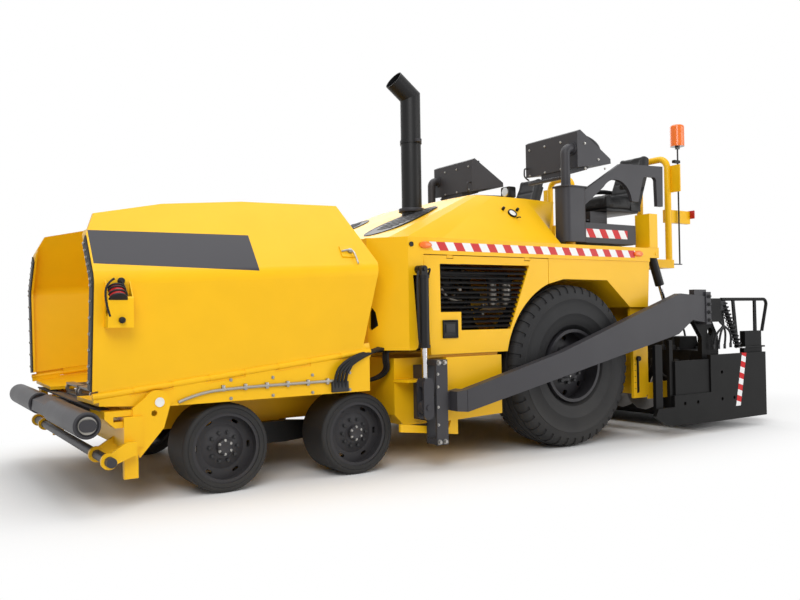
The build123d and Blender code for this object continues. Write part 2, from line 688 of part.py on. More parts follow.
grille_top = belt_bottom - 71
grille_bottom = 1097.0
grille_step = 1248.0            # height of the solid corner that the grille leaves out
grille_tail = sqrt(arch_radius ** 2 - (grille_bottom - rear_tyre_radius) ** 2) + 27
grille_outline = [(1493, grille_top - 7), (rear_tyre_radius - 228, grille_top), (grille_tail, grille_bottom),
                  (1281, grille_bottom), (1281, grille_step), (1491, grille_step)]
louvre_count = 13
louvre_pitch = (grille_top - grille_bottom) / (louvre_count + 0.5)
with BuildPart() as louvres:
    with BuildSketch(cross_plane(500)):
        for k in range(louvre_count):
            with Locations((panel_out - panel / 2, grille_bottom + (k + 0.75) * louvre_pitch)):
                Rectangle(26, 9, rotation=-35)
    extrude(amount=1010)
    with BuildSketch(side_plane(panel_out)):
        Polygon(*side_points(*grille_outline), align=None)
        offset(amount=8)
    extrude(amount=panel, mode=Mode.INTERSECT)

with BuildPart() as engine_door:
    with BuildSketch(side_plane(panel_out)):
        with BuildLine():
            top_front = (ahead(door_front_top), belt_bottom - door_gap)
            top_seam = (ahead(seam_x), belt_bottom - door_gap)
            low_seam = (ahead(seam_x), arch_seam_z)
            low_arch = (ahead(arch_front_x), door_bottom)
            low_front = (ahead(door_front_bottom), door_bottom)
            lead = atan2(door_bottom - rear_tyre_radius, arch_front_x)
            tail = atan2(arch_seam_z - rear_tyre_radius, seam_x)
            arch_middle = (ahead(arch_radius * cos((lead + tail) / 2)),
                           rear_tyre_radius + arch_radius * sin((lead + tail) / 2))
            Line(top_front, top_seam)
            Line(top_seam, low_seam)
            ThreePointArc(low_seam, arch_middle, low_arch)
            Line(low_arch, low_front)
            Line(low_front, top_front)
        make_face()
        Polygon(*side_points(*grille_outline), align=None, mode=Mode.SUBTRACT)
    extrude(amount=panel)
    add(louvres.part)
    for x in door_hinges:                                     # notch for the hinge block, bores for the pin
        with Locations((ahead(x), panel_out - panel / 2, belt_bottom)):
            Box(70, panel + 2, 2 * (belt_bottom - door_hinge_z + 14), mode=Mode.SUBTRACT)
        with BuildSketch(cross_plane(x - 55)):
            with Locations((door_hinge_y, door_hinge_z)):
                Circle(6 + running_gap)
        extrude(amount=110, mode=Mode.SUBTRACT)
save_pair(engine_door.part, "engine_door")

cowl_front = 2030.0
cowl_half = body_half_width - 270
cowl_bottom = 950.0
cowl_wall = 30.0
tunnel_half = 460.0
tunnel_top = 1010.0
cowl_plan = [(ahead(deck_front), body_half_width), (ahead(deck_front + 10), body_half_width),
             (ahead(cowl_front), cowl_half), (ahead(cowl_front), -cowl_half),
             (ahead(deck_front + 10), -body_half_width), (ahead(deck_front), -body_half_width)]
corner_run = cowl_front - deck_front - 10       # the slanting corner, forward and inward
corner_rise = body_half_width - cowl_half
# corners of the window: run along the slanting corner, height
corner_window = [(316, 1303), (280, 1255), (258, 1149), (320, 1108), (336, 1125), (333, 1261)]
with BuildPart() as front_cowl:
    with BuildSketch(Plane.XY.offset(cowl_bottom)):
        Polygon(*cowl_plan, align=None)
    extrude(amount=deck_top - cowl_bottom)
    with BuildSketch(Plane.XY.offset(cowl_bottom)):           # hollow behind and below
        Polygon((ahead(deck_front), body_half_width - 40), (ahead(cowl_front - cowl_wall), cowl_half - 18),
                (ahead(cowl_front - cowl_wall), -cowl_half + 18), (ahead(deck_front), -body_half_width + 40),
                align=None)
    extrude(amount=deck_top - cowl_bottom - cowl_wall, mode=Mode.SUBTRACT)
    with Locations((ahead(cowl_front - cowl_wall / 2), 0, (frame_top + deck_top) / 2)):
        Box(cowl_wall, 2 * cowl_half - 40, deck_top - frame_top)
    with Locations((ahead(cowl_front), 0, (frame_top + tunnel_top) / 2)):
        Box(200, 2 * tunnel_half, tunnel_top - frame_top, mode=Mode.SUBTRACT)
    for side in (1, -1):
        corner = Plane(origin=(ahead(deck_front + 10), side * body_half_width, 0),
                       x_dir=(corner_run, -side * corner_rise, 0),
                       z_dir=(corner_rise, side * corner_run, 0))
        with BuildSketch(corner.offset(5)):                   # window in the slanting corner
            Polygon(*[(u, -side * z) for u, z in corner_window], align=None)
        extrude(amount=-60, mode=Mode.SUBTRACT)
        face = body_half_width if side > 0 else cowl_wall - body_half_width
        with BuildSketch(side_plane(face)):                   # side flap that runs back from the corner
            Polygon(*side_points((deck_front + 5, drop_bottom), (1765, drop_bottom), (1722, 1000),
                                 (1728, 968), (1750, cowl_bottom), (deck_front + 5, cowl_bottom)),
                    align=None)
        extrude(amount=cowl_wall)
save(front_cowl.part, "front_cowl")

hood_top = above(465)
hood_base = [(40, body_half_width - 290), (50, body_half_width - 75),          # half outlines:
             (1430, body_half_width - 70), (1800, body_half_width - 30),       # ahead, to the side
             (1915, cowl_half + 150), (1950, cowl_half - 60)]
hood_crown = [(-270, 780), (150, 832), (560, 835), (720, 815), (785, 760), (800, 500)]
hood_wall = 25.0
stack_x = 1100.0
stack_y = 300.0
stack_radius = 95.0


def both_sides(half, shrink=0.0):
    left = [(ahead(x) - (shrink if x > 0 else -shrink), y - shrink) for x, y in half]
    return left + [(x, -y) for x, y in reversed(left)]


with BuildPart() as hood:
    for shrink, floor, mode in ((0, deck_top, Mode.ADD), (hood_wall, deck_top, Mode.SUBTRACT)):
        with BuildSketch(Plane.XY.offset(floor)):
            Polygon(*both_sides(hood_base, shrink), align=None)
        with BuildSketch(Plane.XY.offset(hood_top - shrink)):
            Polygon(*both_sides(hood_crown, shrink), align=None)
        loft(ruled=True, mode=mode)
save(hood.part, "hood")

hood_slope = Plane(origin=(ahead(hood_base[-1][0]), 0, deck_top + running_gap), x_dir=(0, 1, 0),
                   z_dir=(hood_top - deck_top, 0, hood_base[-1][0] - hood_crown[-1][0]))
stack_foot = above(195)
stack_bend = above(1435)
stack_wall = 8.0
with BuildPart() as exhaust_stack:
    with BuildLine():
        Polyline((ahead(stack_x), stack_y, stack_foot), (ahead(stack_x), stack_y, stack_bend),
                 (ahead(stack_x) + 185, stack_y, stack_bend + 138))
    with BuildSketch(Plane((ahead(stack_x), stack_y, stack_foot))):
        Circle(stack_radius)
        Circle(stack_radius - stack_wall, mode=Mode.SUBTRACT)
    sweep(transition=Transition.RIGHT)
    with BuildSketch(Plane.XY.offset(above(990))):            # clamp ring half way up
        with Locations((ahead(stack_x), stack_y)):
            Circle(stack_radius + 8)
            Circle(stack_radius - 1, mode=Mode.SUBTRACT)
    extrude(amount=30)
    split(bisect_by=hood_slope, keep=Keep.TOP)
save(exhaust_stack.part, "exhaust_stack")

# ---------------------------------------------------------------- tow points
barrel_bottom = 968.0
barrel_top = drop_bottom - 5
barrel_radius = 42.0
eye_z = drop_bottom + 42        # top pin of the tow cylinder
rod_radius = 22.0
guide_plate_in = body_half_width + 115
with BuildPart() as tow_guides:
    with BuildSketch(side_plane(guide_plate_in + 20)):        # outer plate
        with Locations((ahead(guide_x), 536)):
            Rectangle(110, 673)
    extrude(amount=20)
    with BuildSketch(side_plane(tank_out + 15)):              # back plate on the frame
        with Locations((ahead(guide_x), 536)):
            Rectangle(110, 673)
    extrude(amount=15)
    for z in (225, 850):
        with Locations((ahead(guide_x), (tank_out + guide_plate_in) / 2, z)):
            Box(110, guide_plate_in - tank_out, 46)
    with Locations((ahead((tank_front + guide_x + 55) / 2), tank_out - 90, 600)):
        Box(guide_x + 55 - tank_front, 180, 440)
    mirror(about=Plane.XZ)
save(tow_guides.part, "tow_guides")

with BuildPart() as tow_barrels:
    with BuildSketch(Plane.XY.offset(barrel_bottom)):
        with Locations((ahead(tow_x), tow_y)):
            Circle(barrel_radius)
            Circle(rod_radius + running_gap, mode=Mode.SUBTRACT)
    extrude(amount=barrel_top - barrel_bottom - 40)
    with BuildSketch(Plane.XY.offset(barrel_top - 40)):
        with Locations((ahead(tow_x), tow_y)):
            Circle(barrel_radius)
    extrude(amount=40)
    for z in (barrel_bottom, barrel_top - 24):                # collars at both ends
        with BuildSketch(Plane.XY.offset(z)):
            with Locations((ahead(tow_x), tow_y)):
                Circle(barrel_radius + 6)
                Circle(barrel_radius - 1, mode=Mode.SUBTRACT)
        extrude(amount=24)
    with BuildSketch(side_plane(tow_y + 20)):                 # eye, on a pin out of the drop plate
        with BuildLine():
            neck = 30
            Polyline((ahead(tow_x) + neck, eye_z), (ahead(tow_x) + neck, barrel_top - 1),
                     (ahead(tow_x) - neck, barrel_top - 1), (ahead(tow_x) - neck, eye_z))
            ThreePointArc((ahead(tow_x) - neck, eye_z), (ahead(tow_x), eye_z + neck),
                          (ahead(tow_x) + neck, eye_z))
        make_face()
    extrude(amount=40)
    with BuildSketch(side_plane(tow_y + 32)):
        with Locations((ahead(tow_x), eye_z)):
            Circle(15)
    extrude(amount=tow_y + 32 - body_half_width)
    with BuildSketch(side_plane(tow_y - 25)):                 # boss on the drop plate
        with Locations((ahead(tow_x), eye_z)):
            Circle(32)
    extrude(amount=tow_y - 25 - body_half_width)
    mirror(about=Plane.XZ)
save(tow_barrels.part, "tow_barrels")

tip_in = tow_y - 28
tip_out = tow_y + 27
fork_plate_tow = 20.0
with BuildPart() as tow_block:
    with BuildSketch(Plane.XY.offset(tow_z + 220)):
        with Locations((ahead(tow_x), tow_y)):
            Circle(rod_radius)
    extrude(amount=620)
    for face in (tip_in - swing_gap, tip_out + swing_gap + fork_plate_tow):
        with BuildSketch(side_plane(face)):
            with Locations((ahead(tow_x), tow_z + 70)):
                SlotOverall(330, 95, rotation=90)
        extrude(amount=fork_plate_tow)
    with Locations((ahead(tow_x), (tip_in + tip_out) / 2, tow_z + 195)):
        Box(70, tip_out - tip_in + 2 * swing_gap + 2 * fork_plate_tow, 70)
    with BuildSketch(side_plane(tip_out + swing_gap + 30)):
        with Locations((ahead(tow_x), tow_z)):
            Circle(tow_pin)
    extrude(amount=tip_out - tip_in + 2 * swing_gap + 50)
save_pair(tow_block.part, "tow_block")

arm_in = tow_y + 47
arm_out = arm_in + 80
arm_tail = box_front - 86       # rear end of the arm's flange
with BuildPart() as tow_arms:
    with BuildSketch(side_plane(arm_out)):
        Polygon(*side_points((1500, 462), (1500, 618), (1390, 630), (340, 886), (-711, 1223),
                             (box_front + 367, 1399), (arm_tail + 14, 1368), (arm_tail + 14, 1100),
                             (box_front + 191, 1135), (box_front + 411, 1000), (1390, 450)), align=None)
    extrude(amount=arm_out - arm_in)
    with Locations((ahead(arm_tail + 38), (arm_in + arm_out) / 2 + 6, 1252)):     # end flange
        Box(76, arm_out - arm_in + 12, 326)
    with Locations((ahead(arm_tail + 140), (arm_in + arm_out) / 2, 1408)):        # bolted block on top
        Box(190, arm_out - arm_in - 20, 62)
    with BuildSketch(side_plane(arm_in)):                     # step in towards the guide
        Polygon(*side_points((1500, 462), (1500, 618), (1400, 628), (1400, 452)), align=None)
    extrude(amount=arm_in - tip_out)
    with BuildSketch(side_plane(tip_out)):                    # tip that runs behind the guide
        Polygon(*side_points((1400, 452), (1400, 628), (1560, 600), (tow_x, tow_z + 55),
                             (tow_x, tow_z - 55), (1560, 470)), align=None)
        with Locations((ahead(tow_x), tow_z)):
            Circle(55)
            Circle(tow_pin + running_gap, mode=Mode.SUBTRACT)
    extrude(amount=tip_out - tip_in)
    mirror(about=Plane.XZ)
save(tow_arms.part, "tow_arms")

# ---------------------------------------------------------------- operator stations
post_bottom = above(33)
post_top = above(555)
post_front = 18.0
post_rear = -264.0
post_half = 90.0
beam_rear = -980.0
pedestal_x = -740.0
pedestal_length = 240.0
pedestal_width = 260.0
swing_reach = station_x - (lift_head_x + lift_head_length / 2) - 6 * swing_gap
with BuildPart() as station_frame:
    with BuildSketch(Plane.XY.offset(post_bottom)):           # post, its rear corners rounded
        with Locations((ahead((post_front + post_rear) / 2), station_y)):
            RectangleRounded(post_front - post_rear, 2 * post_half, 60)
    extrude(amount=post_top - post_bottom)
    with BuildSketch(Plane.XY.offset(post_top - 12)):         # cap plate
        with Locations((ahead((post_front + post_rear) / 2), station_y)):
            RectangleRounded(post_front - post_rear + 24, 2 * post_half + 24, 40)
    extrude(amount=12)
    with Locations((ahead((post_rear + beam_rear) / 2 + 10), station_y, above(130))):   # base beam
        Box(post_rear - beam_rear + 20, 80, 190)
    with BuildSketch(Plane.XY.offset(post_bottom)):           # foot plate, rounded about the swing axis
        Polygon((ahead(post_rear + 20), station_y), (ahead(beam_rear), station_y),
                (ahead(beam_rear), seat_y - 170), (ahead(post_rear + 20), seat_y - 170), align=None)
        with Locations((ahead(station_x), station_y)):
            Circle(swing_reach, mode=Mode.INTERSECT)
    extrude(amount=20)
    with BuildSketch(Plane.XY.offset(post_bottom)):           # seat pedestal
        with Locations((ahead(pedestal_x), seat_y)):
            Rectangle(pedestal_length, pedestal_width)
    extrude(amount=seat_bottom - running_gap - post_bottom)
    with BuildSketch(side_plane(station_y + 20)):             # gusseted arm with its arched cut-out
        with BuildLine():
            Polyline(*side_points((-300, above(395)), (post_rear + 20, above(425)),
                                  (post_rear + 20, above(505)), (-804, above(832)), (-1435, above(858)),
                                  (-1427, above(445)), (-1340, above(445)), (-1330, above(690))))
            ThreePointArc(*side_points((-1330, above(690)), (-1317, above(727)), (-1285, above(738))))
            Line(*side_points((-1285, above(738)), (-1185, above(738))))
            ThreePointArc(*side_points((-1185, above(738)), (-1140, above(722)), (-1122, above(680))))
            Polyline(*side_points((-1122, above(680)), (-1057, above(470)), (-960, above(470))))
            ThreePointArc(*side_points((-960, above(470)), (-760, above(668)), (-560, above(585))))
            Line(*side_points((-560, above(585)), (-300, above(395))))
        make_face()
    extrude(amount=40)
    with BuildSketch(Plane.XY.offset(post_bottom - 1)):       # bore over the deck's pivot stub
        with Locations((ahead(station_x), station_y)):
            Circle(post_stub + running_gap)
    extrude(amount=70, mode=Mode.SUBTRACT)
save_pair(station_frame.part, "station_frame")

console_front = -222.0
console_out = station_y + 10
console_in = station_y - 710
console_pipe = 45.0
pipe_x = -130.0
pipe_joint = above(935)         # height where the pipe enters the dashboard
wheel_centre = (ahead(-515), station_y - 230, above(1010))
wheel_tilt = Plane(origin=wheel_centre, x_dir=(0, 1, 0), z_dir=(-0.62, 0, 1))
with BuildPart() as station_console:
    with BuildLine():                                         # bent pipe that carries the dashboard
        FilletPolyline((ahead(pipe_x), station_y - 60, post_top),
                       (ahead(pipe_x), station_y - 60, pipe_joint),
                       (ahead(console_front - 20), station_y - 60, pipe_joint), radius=62)
    with BuildSketch(Plane((ahead(pipe_x), station_y - 60, post_top))):
        Circle(console_pipe)
    sweep()
    with BuildSketch(Plane.YZ.offset(ahead(console_front))):  # round flange on the dashboard
        with Locations((station_y - 60, pipe_joint)):
            Circle(console_pipe + 16)
    extrude(amount=14)
    with BuildSketch(side_plane(console_out)):                # wedge-shaped dashboard
        Polygon(*side_points((console_front, above(752)), (console_front, above(1092)),
                             (-262, above(1112)), (-672, above(868)), (-675, above(822))), align=None)
    extrude(amount=console_out - console_in)
    with BuildSketch(side_plane(console_out - 120)):          # sump under it
        Polygon(*side_points((console_front - 12, above(700)), (console_front - 12, above(760)),
                             (-520, above(820)), (-470, above(765))), align=None)
    extrude(amount=console_out - console_in - 330)
    with BuildSketch(wheel_tilt):                             # steering wheel: ring, spokes, hub
        Circle(195)
        Circle(172, mode=Mode.SUBTRACT)
        with PolarLocations(90, 3):
            Rectangle(176, 26)
        Circle(40)
    extrude(amount=20)
    with BuildSketch(wheel_tilt):                             # steering column
        Circle(26)
    extrude(amount=-150)
save_pair(station_console.part, "station_console")

seat_half = 240.0
cushion_section = [(-740, above(400)), (-752, above(500)), (-830, above(542)), (-1180, above(520)),
                   (-1262, above(580)), (-1420, above(1048)), (-1462, above(1080)), (-1516, above(1068)),
                   (-1525, above(1020)), (-1400, seat_bottom), (-760, seat_bottom)]
with BuildPart() as station_seat:
    with BuildSketch(side_plane(seat_y + seat_half)):
        Polygon(*side_points(*cushion_section), align=None)
    extrude(amount=2 * seat_half)
    side_faces = station_seat.faces().filter_by(Axis.Y)
    chamfer(side_faces.edges(), 24)
save_pair(station_seat.part, "station_seat")

# ---------------------------------------------------------------- rear body
wall = 30.0
hoop_x = deck_rear - 775        # guard hoop, its tubes at hoop_y and in the middle
hoop_y = 900.0
hoop_inner_y = 520.0
hoop_tube = 35.0
hoop_beam = 90.0
hoop_foot = above(-120)
auger_end = screed_half_width - 315
auger_bearer = auger_end + 12
head_top = above(345)
corner_plate_x = deck_rear + 125
with BuildPart() as rear_body:
    with Locations((ahead(deck_rear + wall / 2), 0, (frame_bottom + deck_top - deck_plate) / 2)):
        Box(wall, 2 * (panel_out - panel), deck_top - deck_plate - frame_bottom)
    with Locations((ahead(deck_rear), 0, (560 + frame_top) / 2)):
        Box(200, 2 * tunnel_half, frame_top - 560, mode=Mode.SUBTRACT)
    for side in (1, -1):
        face = panel_out - panel if side > 0 else 30 + panel - panel_out
        with BuildSketch(side_plane(face)):                   # corner plates behind the wheels
            Polygon(*side_points((deck_rear + wall, 380), (corner_plate_x + 90, 380),
                                 (corner_plate_x + 90, 1050), (corner_plate_x + 120, 1180),
                                 (corner_plate_x + 120, 1260), (deck_rear + wall, 1260)), align=None)
            with Locations((ahead(corner_plate_x + 30), 600)):                 # their lever slot
                SlotOverall(340, 26, rotation=90, mode=Mode.SUBTRACT)
        extrude(amount=30)
        with Locations((ahead(lift_head_x), side * (lift_y - 20), (above(10) + head_top) / 2)):
            Box(lift_head_length, lift_head_width - 30, head_top - above(10))  # lift cylinder head box
        with Locations((ahead((lift_top[0] - 42 + deck_rear) / 2), side * lift_y, above(-2))):
            Box(deck_rear - lift_top[0] + 42, 128, 24)
        for y in (lift_y - 55, lift_y + 55):                  # lugs under it
            with Locations((ahead((lift_top[0] - 42 + deck_rear) / 2), side * y, above(-50))):
                Box(deck_rear - lift_top[0] + 42, 18, 90)
        with BuildSketch(side_plane(side * lift_y + 70)):     # and their pin
            with Locations((ahead(lift_top[0]), lift_top[2])):
                Circle(lift_pin)
        extrude(amount=140)
        with Locations((ahead((deck_rear + hoop_x) / 2), side * hoop_y, hoop_foot)):     # arm to the hoop
            Box(deck_rear - hoop_x, 60, hoop_beam)
    with Locations((ahead(hoop_x), 0, hoop_foot)):
        Box(hoop_beam, 2 * hoop_y + 60, hoop_beam)
    for side in (1, -1):
        with BuildLine():
            FilletPolyline((ahead(hoop_x), side * hoop_y, hoop_foot + 25),
                           (ahead(hoop_x), side * hoop_y, above(1030)),
                           (ahead(hoop_x), side * hoop_inner_y, above(1030)),
                           (ahead(hoop_x), side * hoop_inner_y, hoop_foot + 25), radius=110)
        with BuildSketch(Plane((ahead(hoop_x), side * hoop_y, hoop_foot + 25))):
            Circle(hoop_tube)
        sweep()
        with Locations((ahead(hoop_x - 28), side * (hoop_y + 65), above(800))):   # plate on the hoop
            Box(16, 156, 290)
        with Locations((ahead(hoop_x - 200), side * (hoop_y - 45), above(405))):  # tail lamp box
            Box(400, 50, 140)
    with BuildSketch(side_plane(auger_bearer + 10)):          # auger shaft and its bearers
        with Locations((ahead(auger_x), auger_z)):
            Circle(auger_shaft)
    extrude(amount=2 * (auger_bearer + 10))
    with Locations((ahead((auger_x - 60 + deck_rear) / 2), 0, 480)):
        Box(deck_rear - auger_x + 60, 140, 240)
    for side in (1, -1):
        with Locations((ahead((auger_x - 60 + deck_rear) / 2), side * auger_bearer, 440)):
            Box(deck_rear - auger_x + 60, 20, 160)
save(rear_body.part, "rear_body")

beacon_x = hoop_x - 180
beacon_foot = hoop_foot + 6
beacon_base = above(1175)
beacon_height = 235.0
beacon_pole = 9.0
with BuildPart() as beacon:
    with Locations((ahead((hoop_x - hoop_beam / 2 + beacon_x - 15) / 2), hoop_y, beacon_foot - 6)):
        Box(hoop_x - hoop_beam / 2 - beacon_x + 15, 40, 12)   # foot on the hoop's beam
    with BuildSketch(Plane.XY.offset(beacon_foot)):
        with Locations((ahead(beacon_x), hoop_y)):
            Circle(beacon_pole)
    extrude(amount=beacon_base - beacon_foot + 1)
    with BuildSketch(Plane.XY.offset(beacon_base - 30)):      # socket under the lamp
        with Locations((ahead(beacon_x), hoop_y)):
            Circle(26)
    extrude(amount=30)
    with BuildSketch(Plane.XY.offset(beacon_base)):
        with Locations((ahead(beacon_x), hoop_y)):
            Circle(75)
    extrude(amount=beacon_height)
    fillet(beacon.edges().group_by(Axis.Z)[-1], 25)
save(beacon.part, "beacon")

tube_radius = 45.0
flight = 10.0                   # thickness of the screw flight
flight_pitch = 300.0
flight_steps = 12               # straight pieces in one turn of the flight
flight_length = auger_end - 140
with BuildPart() as auger:
    with BuildSketch(side_plane(auger_end)):
        with Locations((ahead(auger_x), auger_z)):
            Circle(tube_radius)
            Circle(auger_shaft + running_gap, mode=Mode.SUBTRACT)
    extrude(amount=auger_end - 110)
    for k in range(int(flight_length / flight_pitch * flight_steps) + 1):       # screw flight, radial cuts
        turn = radians(360 / flight_steps * k)
        y = auger_end - 20 - k * flight_pitch / flight_steps
        with BuildSketch(Plane(origin=(ahead(auger_x), y, auger_z), x_dir=(cos(turn), 0, sin(turn)),
                               z_dir=(-sin(turn), 0, cos(turn)))):
            with Locations(((tube_radius - 2 + auger_radius) / 2, 0)):
                Rectangle(auger_radius - tube_radius + 2, flight)
    loft(ruled=True)
save_pair(auger.part, "auger")

# ---------------------------------------------------------------- screed
screed_top = 820.0
box_wall = 40.0
box_nose = 120.0                # solid front of the screed box
guide_tubes = ((box_rear - 150, 250.0), (box_rear - 150, 550.0))
guide_radius = 35.0
guide_reach = screed_half_width - 85
mast_y = arm_in - 25
tower = [(box_front + 80, 1340), (box_front - 90, 1340), (box_front - 320, 960), (box_front - 320, 700),
         (box_front - 50, 700), (box_front - 50, 960), (box_front + 100, 1150)]
with BuildPart() as screed_frame:
    with BuildSketch(side_plane(box_half)):                   # main screed box
        Polygon(*side_points((box_front, screed_sole + 60), (box_front, 560), (box_front - 60, screed_top),
                             (box_rear, screed_top), (box_rear, screed_sole),
                             (box_front - 80, screed_sole)), align=None)
    extrude(amount=2 * box_half)
    for side in (1, -1):                                      # hollow box, open behind, with a middle web
        with Locations((ahead((box_front - box_nose + box_rear - 1) / 2), side * box_half / 2,
                        (screed_sole + screed_top) / 2)):
            Box(box_front - box_nose - box_rear + 1, box_half - 2 * box_wall,
                screed_top - screed_sole - 2 * box_wall, mode=Mode.SUBTRACT)
    with BuildSketch(side_plane(box_half - 170)):             # cover over the drives
        Polygon(*side_points((box_front - 80, screed_top - 1), (box_front - 110, 955),
                             (box_rear + 70, 955), (box_rear + 40, screed_top - 1)), align=None)
    extrude(amount=2 * (box_half - 170))
    for side in (1, -1):
        with BuildSketch(side_plane(side * mast_y + 25)):     # tower plate bolted to the tow arm
            Polygon(*side_points(*tower), align=None)
            with Locations((ahead(box_front - 185), 1010)):
                Circle(40, mode=Mode.SUBTRACT)
        extrude(amount=50)
        with Locations((ahead(box_front - 160), side * (box_half + mast_y) / 2, 760)):
            Box(220, mast_y - box_half, 110)
        with Locations((ahead(box_front - 195), side * (mast_y + 55), 1230)):     # block behind the arm
            Box(190, 70, 240)
    with Locations((ahead(box_front - 210), 0, 1180)):        # cross tube between the towers
        Box(90, 2 * (mast_y - 20), 90)
    for side in (1, -1):
        with Locations((ahead(box_front - 210), side * 500, 1045)):
            Box(70, 60, 250)
    with Locations((ahead(box_rear - 110), 0, 400)):          # bracket of the extension guides
        Box(230, 30, 520)
    for x, z in guide_tubes:
        with BuildSketch(side_plane(guide_reach)):
            with Locations((ahead(x), z)):
                Circle(guide_radius)
        extrude(amount=2 * guide_reach)
save(screed_frame.part, "screed_frame")

end_plate = 40.0
end_rail = screed_half_width - 90     # inner face of the upright channel
rail_front = extension_rear + 320
spindle_z = 1340.0
end_plate_outline = [(-821, 232), (-993, 130), (box_front, screed_sole), (extension_rear, screed_sole),
                     (extension_rear, 780), (-1660, 780), (-1660, 410), (-1095, 410), (-1095, 300),
                     (-860, 300)]
end_holes = ((-1250, 325), (-1450, 325), (-1840, 330), (-2040, 330), (-1840, 600))
with BuildPart() as screed_extension:
    with BuildSketch(side_plane(screed_half_width)):
        Polygon(*side_points((box_rear - 15, screed_sole), (box_rear - 15, 700), (extension_rear + 60, 700),
                             (extension_rear, 600), (extension_rear, screed_sole)), align=None)
    extrude(amount=screed_half_width - 20)
    with BuildSketch(side_plane(screed_half_width)):          # end plate
        Polygon(*side_points(*end_plate_outline), align=None)
        with Locations(*side_points(*end_holes)):
            Circle(18, mode=Mode.SUBTRACT)
    extrude(amount=end_plate)
    with BuildSketch(side_plane(screed_half_width - 15)):     # panel set in over the front rail
        Polygon(*side_points((-1130, 405), (-1130, 740), (-1665, 740), (-1665, 405)), align=None)
    extrude(amount=end_plate - 15)
    for x, width, top in ((-920, 100, 905), (-1100, 50, 945)):     # adjusting columns under the tow arm
        with Locations((ahead(x), screed_half_width - 55, (240 + top) / 2)):
            Box(width, 35, top - 240)
    with Locations((ahead((extension_rear + rail_front) / 2), end_rail + 25, 470)):   # upright channel
        Box(rail_front - extension_rear, 50, 720)
    with Locations((ahead((extension_rear + rail_front) / 2 + 15), end_rail + 25, 838)):   # plate on it
        Box(rail_front - extension_rear + 80, 90, 16)
    with Locations((ahead((extension_rear + rail_front) / 2), end_rail + 25, 925)):   # spindle gearbox
        Box(rail_front - extension_rear - 30, 60, 160)
    for foot, head in ((-1975, -2020), (-2300, -2400)):       # leaning legs under the spindle
        with BuildSketch(side_plane(end_rail + 20)):
            Polygon(*side_points((foot - 215, 840), (head - 120, spindle_z), (head - 160, spindle_z),
                                 (foot - 265, 840)), align=None)
        extrude(amount=16)
    with BuildSketch(Plane(origin=(ahead(-2212), end_rail + 30, 842), x_dir=(0, 1, 0),
                           z_dir=(239, 0, 458))):             # spring strut
        Circle(22)
    extrude(amount=500)
    with BuildLine():
        FilletPolyline((ahead(-1960), end_rail + 12, spindle_z), (ahead(-2769), end_rail + 12, spindle_z),
                       (ahead(-2663), end_rail + 12, 1000), radius=50)
    with BuildSketch(Plane(origin=(ahead(-1960), end_rail + 12, spindle_z), z_dir=(-1, 0, 0))):
        Circle(17)
    sweep()
    with BuildSketch(side_plane(guide_reach + 5)):
        for x, z in guide_tubes:
            with Locations((ahead(x), z)):
                Circle(guide_radius + running_gap)
    extrude(amount=guide_reach, mode=Mode.SUBTRACT)
    for y in (200.0, screed_half_width - 225):                # ears of the walkway hinge
        with Locations((ahead(extension_rear - 12), y, walkway_z)):
            Box(40, 20, 44)
    with BuildSketch(side_plane(screed_half_width - 185)):
        with Locations((ahead(walkway_x), walkway_z)):
            Circle(8)
    extrude(amount=screed_half_width - 345)
save_pair(screed_extension.part, "screed_extension")

walkway_out = screed_half_width - 255
walkway_rear = walkway_x - 323
with BuildPart() as walkway:
    with BuildSketch(Plane.XY.offset(walkway_z - 12)):
        Polygon((ahead(walkway_x), 230), (ahead(walkway_x), walkway_out), (ahead(walkway_rear), walkway_out),
                (ahead(walkway_rear), 60), (ahead(walkway_x - 40), 60), (ahead(walkway_x - 40), 230),
                align=None)
    extrude(amount=24)
    with BuildSketch(side_plane(walkway_out)):
        with Locations((ahead(walkway_x), walkway_z)):
            Circle(14)
    extrude(amount=walkway_out - 230)
    with BuildSketch(side_plane(walkway_out + 30)):
        with Locations((ahead(walkway_x), walkway_z)):
            Circle(8 + running_gap)
    extrude(amount=1100, mode=Mode.SUBTRACT)
save_pair(walkway.part, "walkway")

# ---------------------------------------------------------------- screed lift cylinders
reach = hypot(lift_top[0] - lift_eye[0], lift_top[2] - lift_eye[2])
lift_plane = Plane(origin=(ahead(lift_top[0]), lift_top[1], lift_top[2]), x_dir=(0, 1, 0),
                   z_dir=(lift_eye[0] - lift_top[0], 0, lift_eye[2] - lift_top[2]))
lift_barrel_length = reach - 208
lift_bore_start = 50.0
lift_rod_radius = 20.0
lift_rod_length = reach - 228
with BuildPart() as lift_barrel:
    with BuildSketch(lift_plane.offset(30)):
        Circle(45)
    extrude(amount=lift_barrel_length - 30)
    with BuildSketch(lift_plane.offset(lift_bore_start)):
        Circle(lift_rod_radius + running_gap)
    extrude(amount=lift_barrel_length, mode=Mode.SUBTRACT)
    with BuildSketch(side_plane(lift_top[1] + 40)):
        with Locations((ahead(lift_top[0]), lift_top[2])):
            Circle(40)
    extrude(amount=80)
    with BuildSketch(side_plane(lift_top[1] + 40)):
        with Locations((ahead(lift_top[0]), lift_top[2])):
            Circle(lift_pin + running_gap)
    extrude(amount=80, mode=Mode.SUBTRACT)
save_pair(lift_barrel.part, "lift_barrel")

with BuildPart() as lift_rod:
    with BuildSketch(lift_plane.offset(reach - 20)):
        Circle(lift_rod_radius)
    extrude(amount=-lift_rod_length)
    with BuildSketch(side_plane(lift_eye[1] + 30)):
        with Locations((ahead(lift_eye[0]), lift_eye[2])):
            Circle(32)
    extrude(amount=60)
    with BuildSketch(side_plane(arm_in - swing_gap)):         # pin towards the tow arm
        with Locations((ahead(lift_eye[0]), lift_eye[2])):
            Circle(22)
    extrude(amount=arm_in - swing_gap - lift_eye[1])
save_pair(lift_rod.part, "lift_rod")
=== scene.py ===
import json
import math
import random

